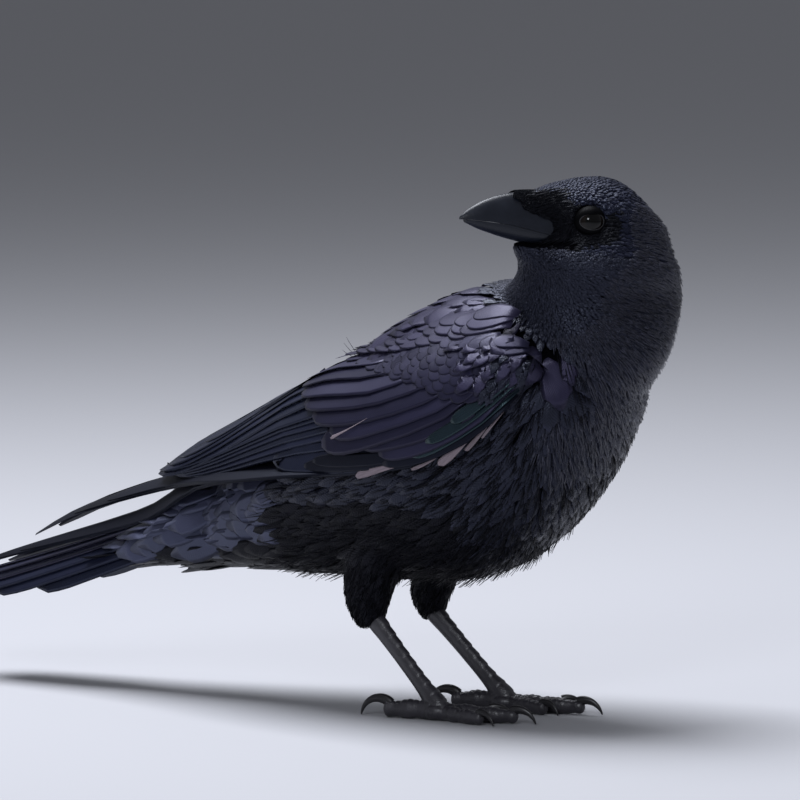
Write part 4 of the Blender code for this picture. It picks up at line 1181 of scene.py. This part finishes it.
def primaries(side):
    paths, faces = [], []
    for route, end, _, lean, step in PRIMARIES:
        dense = smooth_path(route, 120)
        dense = dense[dense[:, 0] >= end]
        pick = np.interp(np.linspace(0, 1, 18) ** 0.8, (0, 1), (0, len(dense) - 1))
        path = np.stack([np.interp(pick, np.arange(len(dense)), dense[:, k]) for k in range(3)], 1)
        path += np.interp(path[:, 0], (-200, -60), (0.4, 1.0))[:, None] * np.array((0, 0.45, -0.75)) * step
        if side == "left" and route is UPPER_BLADE:
            path[:, 2] += LEFT_RISE * np.interp(path[:, 0], (-185, -130), (1, 0))
        along = unit(np.gradient(path, axis=0))
        level = np.array((0.0, -1.0, 0.0))
        aside = unit(level - along * (along @ level)[:, None])
        over = np.cross(aside, along)
        over *= np.sign(over[:, 2:])
        tilt = radians(lean)
        faces.append(unit(over * cos(tilt) + aside * sin(tilt)))
        paths.append(path)
    return np.array(paths), np.array(faces), np.array([row[2] for row in PRIMARIES])


quill_look = LONG | {
    "tilt": 0.0,
    "widths": ((0, 0.6), (0.2, 1), (0.52, 1), (0.68, 0.8), (0.84, 0.52), (0.95, 0.34), (1, 0.12)),
}
for side in ("left", "right"):
    points, out, halves = primaries(side)
    # The primaries take the near-black quill finish: painted shade.
    blades = wing_piece("primaries", side, points, out, halves, quill_look, SHADED_QUILL)
    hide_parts(f"wing_{side}_primaries")
    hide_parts(f"wing_{side}_secondaries")
    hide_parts(f"wing_{side}_coverts")

# %% [markdown]
# ## The tail
#
# Twelve quills, folded: the middle pair on top, each pair outwards under the last, the whole arched
# like a roof. The outermost are clearly the shortest, which rounds the end. Seen from the side their
# outer webs make a fan of edges. The three pairs on top shine more, and their colour is painted
# lighter, as lit from above, so they're a piece of their own.

# %% Tail quills
TAIL_RIDGE = ((-108, 98.5), (-126, 92), (-165, 79), (-210, 64.5), (-270, 46.8))
TAIL_HALF_WIDTH = ((-108, 14), (-140, 18.5), (-190, 23), (-270, 23.5))
TAIL_DROP, TAIL_TURN, TAIL_GRADE, TAIL_PAIRS, QUILL_HALF = 23.5, radians(66), 47.0, 6, 7.6


def tail_quills():
    paths, faces = [], []
    for pair in range(TAIL_PAIRS):
        s = (pair + 0.3) / (TAIL_PAIRS - 0.7)
        tip = TAIL_END + TAIL_GRADE * s**4
        x = TAIL_RIDGE[0][0] + (tip - TAIL_RIDGE[0][0]) * np.linspace(0, 1, 16) ** 0.75
        ridge, wide = through(TAIL_RIDGE, x)[:, 1], through(TAIL_HALF_WIDTH, x)[:, 1]
        under = 0.5 * pair + 0.5
        for mirror in (1, -1):
            turn = TAIL_TURN * s * np.linspace(0.85, 1.0, len(x)) * (1 if mirror < 0 else 1 - 0.14 * s)
            y = (wide - under) * np.sin(turn)
            z = ridge - under - (TAIL_DROP - under) * (1 - np.cos(turn))
            paths.append(np.stack((x, mirror * y, z), 1))
            faces.append(np.stack((x * 0, mirror * np.sin(turn), np.cos(turn)), 1))
    return np.array(paths), np.array(faces), np.full(2 * TAIL_PAIRS, QUILL_HALF)


points, out, halves = tail_quills()
maps, patch = strips(len(points))
tail_look = LONG | {
    "cup": 0.10, "tilt": 0.0, "patch": patch,
    "widths": ((0, 0.6), (0.3, 0.95), (0.86, 1.0), (0.94, 0.9), (0.975, 0.7), (1, 0.3)),
}
# The top pairs take the lighter tail finish, painted light. The outer ones take the plain quill finish.
tail, outer = (
    vanes(name, points[some], out[some], halves[some], finish_with, maps[some], tail_look)
    for name, some, finish_with in (
        ("tail_quills", slice(0, 6), LIT_TAIL_TOP), ("tail_outer_quills", slice(6, 12), QUILL),
    )
)
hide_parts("tail")
print("tail", len(tail.data.polygons), "faces")

# %% [markdown]
# ## Rings and bridges
#
# Bill, legs and claws are lofts: a circle for each station, its points set where the section says, and
# bridge_loops between. The same helper serves them all.

# %% Loft helper
def lofted(rings, caps=True):
    """A bmesh skinned over rings of points in the bird's frame, each the same length."""
    bm = bmesh.new()
    loops = []
    for ring in rings:
        made = bmesh.ops.create_circle(bm, segments=len(ring), radius=1.0)["verts"]
        for vert, point in zip(made, in_place(ring)):
            vert.co = point
        loops.append([e for e in bm.edges if e.verts[0] in made and e.verts[1] in made])
    for one, two in zip(loops, loops[1:]):
        bmesh.ops.bridge_loops(bm, edges=one + two)
    if caps:
        bmesh.ops.holes_fill(bm, edges=loops[0] + loops[-1], sides=0)
    bmesh.ops.recalc_face_normals(bm, faces=bm.faces)
    return bm


def piece(name, bm, finish_with, slot, *nodes, sharp=40):
    """A finished object from a bmesh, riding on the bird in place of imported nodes."""
    mesh = bpy.data.meshes.new(name)
    bm.to_mesh(mesh)
    bm.free()
    mesh.shade_smooth()
    mesh.set_sharp_from_angle(angle=radians(sharp))
    mesh.materials.append(finish_with)
    made = linked(name, mesh)
    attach(made, "root")
    if nodes:
        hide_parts(*nodes)
    return made


# %% [markdown]
# ## The bill
#
# Horn, slate black with a satin shine: a strong arched culmen with a slightly hooked tip, a cutting
# edge that dips back to the gape, and a lower half with a keel. Fine lines run along it.

# %% Horn
def horn_finish():
    made, tree, shader = finish("bill_horn", Specular_IOR_Level=0.32)
    where = add_node(tree, "TexCoord").outputs["Object"]
    turn = add_node(tree, "Mapping", where)
    turn.inputs["Rotation"].default_value = (0, 0, radians(120))
    turn.inputs["Scale"].default_value = (0.12, 1, 1)
    streak = add_node(tree, "TexNoise", turn.outputs[0], Scale=900.0, Detail=4.0).outputs["Fac"]
    patch = add_node(tree, "TexNoise", where, Scale=90.0, Detail=3.0).outputs["Fac"]
    paint = between(tree, patch, (0.004, 0.005, 0.008), (0.012, 0.015, 0.025))
    tree.links.new(paint, shader.inputs["Base Color"])
    tree.links.new(math(tree, "MULTIPLY_ADD", patch, 0.25, 0.24), shader.inputs["Roughness"])
    roughened(tree, shader, streak, 0.3, 0.0003)
    return made


HORN = horn_finish()
BILL = (
    (8, 9.6, -9, -14, 9.8), (14, 10.6, -7.9, -12.9, 9.0), (21, 11.2, -6, -11.6, 7.9),
    (28, 11.4, -4.1, -10.1, 6.8), (35, 10.9, -2.3, -8.3, 5.7), (42, 9.4, -1.1, -6.1, 4.5),
    (49, 6.7, -0.2, -3.5, 3.1), (53.8, 3.9, 0.3, -1.2, 1.7), (56.6, 1.6, 0.4, 0.1, 0.6),
)
LOWER_BILL_STOPS, BILL_LINE = 54.3, 0.14


def bill_half(upper, stations=36, around=26):
    """One half of the bill, from under the bristles to its tip."""
    end = BILL[-1][0] if upper else LOWER_BILL_STOPS
    rings = []
    ahead = BILL[0][0] + (end - BILL[0][0]) * np.linspace(0, 1, stations) ** 0.9
    for f, culmen, edge, keel, wide in through(BILL, ahead):
        angle = pi * np.arange(around) / (around - 1)
        rise = np.maximum(np.sin(angle), 0)
        if upper:
            deep = max(culmen - edge - BILL_LINE / 2, 0.25)
            side = wide * np.cos(angle) * (1 - 0.20 * rise**3)
            high = edge + BILL_LINE / 2 + deep * rise**0.92
        else:
            deep = max(edge - keel - BILL_LINE / 2, 0.25)
            side = 0.95 * wide * np.cos(angle) * (1 - 0.10 * rise**3)
            high = edge - BILL_LINE / 2 - deep * rise**0.8
        rings.append(from_head(np.stack((np.full(around, f), side, high), 1)))
    return lofted(rings)


bill_upper = piece("bill_upper_horn", bill_half(True), HORN, "horn", "bill_upper", sharp=60)
bill_lower = piece("bill_lower_horn", bill_half(False), HORN, "horn", "bill_lower", sharp=60)
print("bill", len(bill_upper.data.polygons) + len(bill_lower.data.polygons), "faces")

# %% [markdown]
# ## Bristles on the horn
#
# The nasal bristles lie forward over the upper bill, cover the nostrils and end in one rounded front
# edge. These lie on the horn itself, at an angle round its section and a little off it, for the bill
# is wider than the coat of the face they would otherwise grow on.

# %% Bristles on the bill
count = 2600
angle = radians(20) + radians(140) * dice.random(count)
from_top = np.abs(angle / radians(90) - 1)
front_edge = np.interp(from_top, (0, 0.39, 0.78), (30.5, 33.5, 22.0))
begin = 9 + (front_edge - 14) * dice.random(count) ** 0.8
reach = np.minimum(11.0, front_edge - begin) * dice.uniform(0.85, 1.0, count)
lines, above = [], []
for t in np.linspace(0, 1, 4):
    section = through(BILL, begin + reach * t)
    deep, lift = section[:, 1] - section[:, 2], 0.25 + 0.55 * t + 0.3 * dice.random(count)
    side = section[:, 4] * np.cos(angle) * (1 - 0.20 * np.sin(angle) ** 3) + lift * np.cos(angle)
    high = section[:, 2] + deep * np.sin(angle) ** 0.92 + lift * np.sin(angle)
    lines.append(from_head(np.stack((section[:, 0], side, high), 1)))
    above.append(np.outer(np.cos(angle), head_axes[1]) + np.outer(np.sin(angle), head_axes[2]))
spot, _up, _along, _size, gone = at_surface(pool[nasal])
beside = dice.integers(0, len(nasal), count)
bristles = vanes("bill_bristles", np.stack(lines, 1), np.stack(above, 1), dice.uniform(0.22, 0.38, count),
                 MASK, unrolled(spot, gone)[beside], STRAND)
print("bill bristles", len(bristles.data.polygons), "faces")

# %% [markdown]
# ## The eyes
#
# A crow's eye is dark brown with a black pupil, so it reads as one wet dark bead. The ball is a fine
# sphere with its pole facing out; rings of colour are set by the angle from that pole. Lids of bare
# dark skin close round it, with a thin pale lower rim.

# %% Eyeballs
def eye_finish():
    made, tree, shader = finish("wet_eye", Roughness=0.03, Specular_IOR_Level=0.25)
    polar = add_node(tree, "Attribute", attribute_name="polar").outputs["Fac"]
    ramp = tree.nodes.new("ShaderNodeValToRGB")
    tree.links.new(polar, ramp.inputs["Fac"])
    stops = ramp.color_ramp.elements
    stops[0].position, stops[0].color = 0.33, (0.001, 0.001, 0.001, 1)
    stops[1].position, stops[1].color = 0.37, (0.006, 0.004, 0.003, 1)
    for position, colour in ((0.62, (0.005, 0.003, 0.003, 1)), (0.72, (0.004, 0.003, 0.003, 1))):
        stop = stops.new(position)
        stop.color = colour
    tree.links.new(ramp.outputs[0], shader.inputs["Base Color"])
    return made


def lid_finish(name, low, high, shine):
    made, tree, shader = finish(name, Roughness=0.5, Specular_IOR_Level=shine)
    where = add_node(tree, "TexCoord").outputs["Object"]
    crease = add_node(tree, "TexNoise", where, Scale=2600.0, Detail=2.0).outputs["Fac"]
    tree.links.new(between(tree, crease, low, high), shader.inputs["Base Color"])
    roughened(tree, shader, crease, 0.5, 0.0002)
    return made


EYE, LID = eye_finish(), lid_finish("lid_skin", (0.001, 0.001, 0.001), (0.003, 0.003, 0.004), 0.03)
LID_RIM = lid_finish("lid_rim", (0.012, 0.012, 0.014), (0.035, 0.034, 0.038), 0.4)
LID_WIDE, LID_TALL = radians(53), radians(31)  # the opening's half angles, fore and aft and up and down


def eye_rotation(side):
    """Axes of an eye: its pole out to the side and a little ahead."""
    sign = 1 if side == "left" else -1
    pole = Vector(np.array((0.12, sign, 0.04)) @ head_axes).normalized()
    up = (Vector((0, 0, 1)) - pole * pole.z).normalized()
    return Matrix((up.cross(pole), up, pole)).transposed()


def on_eye(side, polar, around, radius):
    """Points about an eye: polar angle from its pole, angle around it, distance from its middle."""
    ring = np.stack((np.sin(polar) * np.cos(around), np.sin(polar) * np.sin(around), np.cos(polar)), -1)
    ring = ring * np.asarray(radius)[..., None]
    return ring @ np.array(eye_rotation(side)).T + np.array(eye_middle[side])


for side in ("left", "right"):
    ball = bmesh.new()
    bmesh.ops.create_uvsphere(ball, u_segments=48, v_segments=48, radius=1.0)
    polar = [v.co.angle(Vector((0, 0, 1))) if v.co.length else 0.0 for v in ball.verts]
    bulge = [EYE_RADIUS + 0.35 * max(0.0, cos(a * 1.9)) if a < 0.8 else EYE_RADIUS for a in polar]
    for v, r in zip(ball.verts, bulge):
        v.co *= r * MM
    bmesh.ops.transform(ball, matrix=eye_rotation(side).to_4x4(), verts=ball.verts)
    bmesh.ops.translate(ball, vec=Vector(in_place(eye_middle[side])), verts=ball.verts)
    made = piece(f"eyeball_{side}", ball, EYE, "eye", f"eye_{side}", sharp=180)
    layer = made.data.attributes.new("polar", "FLOAT", "POINT")
    layer.data.foreach_set("value", np.array(polar) / (pi / 2))

    around = np.linspace(0, 2 * pi, 48, endpoint=False)
    reach = np.sqrt((LID_TALL * np.cos(around)) ** 2 + (LID_WIDE * np.sin(around)) ** 2)
    opening = LID_WIDE * LID_TALL / reach
    rim = [(-0.01, 0.02), (0.00, 0.2), (0.03, 0.28), (0.06, 0.2), (0.07, 0.05)]
    lid = [(0.03, 0.05), (0.05, 0.25), (0.12, 0.45), (0.25, 0.6), (0.45, 0.6), (0.7, 0.3)]
    hood = 0.10 * np.clip(np.sin(around), 0, 1) ** 2  # the upper lid comes lower than the rim shows
    for name, rows, finish_with in (("rim", rim, LID_RIM), ("lids", lid, LID)):
        open_to = opening - (hood if name == "lids" else 0.4 * hood)
        brim = 4 * hood if name == "lids" else 0 * hood  # all the rows of the lids stand off the ball
        rings = [on_eye(side, open_to + more, around, EYE_RADIUS + over + brim) for more, over in rows]
        piece(f"eye_{name}_{side}", lofted(rings, caps=False), finish_with, "plumage")

# %% [markdown]
# ## Legs and feet
#
# A crow's shank is clad in front with a row of broad plates, smooth behind. The toes carry smaller
# plates on top and cushions below. Plates are steps in the section: each swells towards its lower
# edge and drops back at the next. Shank, ball and toes are melted together so that no seam shows.

# %% Scaly finish
def scale_finish():
    made, tree, shader = finish("leg_scales", Specular_IOR_Level=0.55, Coat_Weight=0.15, Coat_Roughness=0.3)
    where = add_node(tree, "TexCoord").outputs["Object"]
    patch = add_node(tree, "TexNoise", where, Scale=160.0, Detail=3.0).outputs["Fac"]
    paint = between(tree, patch, (0.012, 0.011, 0.014), (0.045, 0.042, 0.052))
    tree.links.new(paint, shader.inputs["Base Color"])
    tree.links.new(math(tree, "MULTIPLY_ADD", patch, 0.3, 0.24), shader.inputs["Roughness"])
    cells = add_node(tree, "TexVoronoi", where, Scale=900.0)
    cells.feature = "DISTANCE_TO_EDGE"
    roughened(tree, shader, cells.outputs["Distance"], 0.5, 0.0003)
    return made


SCALES = scale_finish()
ANKLE, ANKLE_STAGGER, SHANK_END = np.array((-34.6, 20.0, 40.5)), 1.7, 0.8
SHANK = (  # share of its length, half depth, half width
    (-0.12, 3.4, 3), (0, 4.3, 3.5), (0.14, 4.0, 3.0), (0.48, 3.6, 2.7), (0.8, 4.0, 3.1), (0.94, 4.9, 4.0),
    (1.05, 4.6, 3.9),
)
FOOT_TURN = 10.0
TOES = {  # turn from ahead, toe length, claw length, radius, joints
    "hallux": (180.0, 24.5, 18.5, 4.0, 2), "inner": (-21.0, 25.0, 12.5, 3.2, 2),
    "middle": (0.0, 37.5, 14.0, 3.5, 3), "outer": (22.0, 27.5, 12.0, 3.1, 3),
}
CLAW_BEND = {"hallux": (40.0, -84.0)}
FRONT_CLAW_BEND, CLAW_ROOT, CLAW_POINT_HEIGHT, TOE_START = (22.0, -72.0), 0.6, 0.55, 2.0
SHANK_PLATES, TOE_PLATE, PROUD = 9, 3.0, 0.6  # how many, how long, how far they stand out
SOLE = 0.05  # the lowest a foot comes


def foot_ball(side):
    """The middle of the ball of a foot on the floor: 1 for the left, -1 for the right."""
    return np.array((2.6 * side, 22.0 * side, 0.0))


def plates(share, number):
    """How far a plate stands out: it swells along its length and drops back at the next."""
    part = (share * number) % 1.0
    return PROUD * part**0.7 * (1 - np.clip((part - 0.88) / 0.12, 0, 1))


def shank_rings(side):
    ball = foot_ball(side)
    top = ANKLE * (1, side, 1) + (ANKLE_STAGGER * side, 0, 0)
    run = np.array((ball[0] + SHANK_END, ball[1], 5.2)) - top
    ahead = unit(run)
    aside = np.array((0.0, 1.0, 0.0))
    fore = np.cross(aside, ahead)
    fore *= np.sign(fore[0])
    rings = []
    around = np.linspace(0, 2 * pi, 28, endpoint=False)
    for share, deep, wide in through(SHANK, np.linspace(-0.12, 1.05, 90)):
        facing = np.clip(np.cos(around) * 1.4, 0, 1)
        out = plates(share, SHANK_PLATES) * facing
        spot = top + run * share
        ring = spot + np.outer((deep + out - 0.1) * np.cos(around), fore)
        rings.append(ring + np.outer((wide + out * 0.4) * np.sin(around), aside))
    return rings


def toe_rings(side, turn, length, radius, joints):
    heading = radians(turn * side + FOOT_TURN)
    ahead = np.array((cos(heading), sin(heading), 0))
    aside = np.array((-ahead[1], ahead[0], 0))
    around = np.linspace(0, 2 * pi, 20, endpoint=False)
    rings = []
    number = round(length / TOE_PLATE)
    for share in np.concatenate((np.linspace(0, 0.9, 64), 1 - 0.1 * np.linspace(0.9, 0.02, 9) ** 2)):
        swell = 1 + 0.10 * cos(2 * pi * joints * share)
        taper = 1.12 - 0.30 * share
        close = np.sqrt(max(0.04, 1 - (max(0.0, share - 0.9) / 0.1) ** 2))
        r = radius * swell * taper * close
        out = plates(share, number) * np.clip(np.sin(around) * 1.5, 0, 1) * close
        pads = 0.4 * np.clip(-np.sin(around), 0, 1) * abs(sin(pi * joints * 1.5 * share)) * close
        spot = foot_ball(side) + ahead * (TOE_START + (length + 0.8 - TOE_START) * share)
        spot[2] = radius * taper + 0.5 * share**3
        ring = spot + np.outer((r + out * 0.3) * 0.92 * np.cos(around), aside)
        ring[:, 2] += (r + out - 0.1 * close + pads) * np.sin(around)
        rings.append(np.maximum(ring, (-np.inf, -np.inf, SOLE)))
    return rings


def foot_pad(side):
    pad = bmesh.new()
    bmesh.ops.create_uvsphere(pad, u_segments=24, v_segments=16, radius=1.0)
    bmesh.ops.scale(pad, vec=Vector((6.6, 5.8, 4.2)) * MM, verts=pad.verts)
    spot = foot_ball(side) + (0, 0, 3.8)
    bmesh.ops.translate(pad, vec=Vector(in_place(spot)), verts=pad.verts)
    for v in pad.verts:
        v.co.z = max(v.co.z, SOLE * MM)
    return pad


def melt_together(name, parts, voxel, rounds):
    """One closed mesh from overlapping lofts."""
    whole = bmesh.new()
    for bm in parts:
        mesh = bpy.data.meshes.new("part")
        bm.to_mesh(mesh)
        bm.free()
        whole.from_mesh(mesh)
        bpy.data.meshes.remove(mesh)
    made = linked(name, bpy.data.meshes.new(name))
    whole.to_mesh(made.data)
    whole.free()
    mesh = remeshed(made, voxel, rounds)
    bpy.data.objects.remove(made)
    bm = bmesh.new()
    bm.from_mesh(mesh)
    bpy.data.meshes.remove(mesh)
    return bm


for name, side in (("left", 1), ("right", -1)):
    parts = [lofted(shank_rings(side)), foot_pad(side)]
    for turn, length, _, radius, joints in TOES.values():
        parts.append(lofted(toe_rings(side, turn, length, radius, joints)))
    leg = melt_together(f"leg_{name}", parts, 0.28, 1)
    nodes = f"tarsus_{name}", f"foot_{name}"
    made = piece(f"leg_scales_{name}", leg, SCALES, "leg_scale", *nodes, sharp=180)
    print(made.name, len(made.data.polygons), "faces")

# %% [markdown]
# ## Claws
#
# Eight curved claws of black horn. Each is an evenly bent, tapering arc that leaves the toe rising and
# comes down to the floor, deeper than wide and finer towards the point.

# %% Claws
def claw_rings(side, name):
    turn, toe_length, length, radius, _ = TOES[name]
    bend = CLAW_BEND.get(name, FRONT_CLAW_BEND)
    heading = radians(turn * side + FOOT_TURN)
    ahead = np.array((cos(heading), sin(heading), 0))
    aside = np.array((-ahead[1], ahead[0], 0))
    up = np.array((0, 0, 1.0))
    steps = 22
    slopes = np.radians(np.linspace(bend[0], bend[1], steps + 1))
    middle = (slopes[:-1] + slopes[1:]) / 2
    pieces = (np.outer(np.cos(middle), ahead) + np.outer(np.sin(middle), up)) * length / steps
    spots = np.concatenate((np.zeros((1, 3)), np.cumsum(pieces, axis=0)))
    root = foot_ball(side) + ahead * (toe_length - 2.2)
    root[2] = CLAW_POINT_HEIGHT - spots[-1, 2]
    around = np.linspace(0, 2 * pi, 14, endpoint=False)
    rings = []
    for k, (slope, spot) in enumerate(zip(slopes, spots)):
        r = radius * CLAW_ROOT * (1 - 0.86 * (k / steps) ** 1.4)
        over = up * cos(slope) - ahead * sin(slope)
        ring = root + spot + np.outer(r * 0.72 * np.cos(around), aside)
        rings.append(ring + np.outer(r * np.sin(around), over))
    return rings


CLAW_HORN, _tree, _shader = finish("claw_horn", Base_Color=(0.012, 0.011, 0.013, 1), Specular_IOR_Level=0.5)
_where = add_node(_tree, "TexCoord").outputs["Object"]
_grain = add_node(_tree, "TexNoise", _where, Scale=400.0).outputs["Fac"]
_tree.links.new(math(_tree, "MULTIPLY_ADD", _grain, 0.25, 0.2), _shader.inputs["Roughness"])
for name, side in (("left", 1), ("right", -1)):
    for toe_name in TOES:
        claw = lofted(claw_rings(side, toe_name))
        full = f"{name}_{toe_name}"
        piece(f"claw_horn_{full}", claw, CLAW_HORN, "horn", f"claw_{full}", sharp=80)
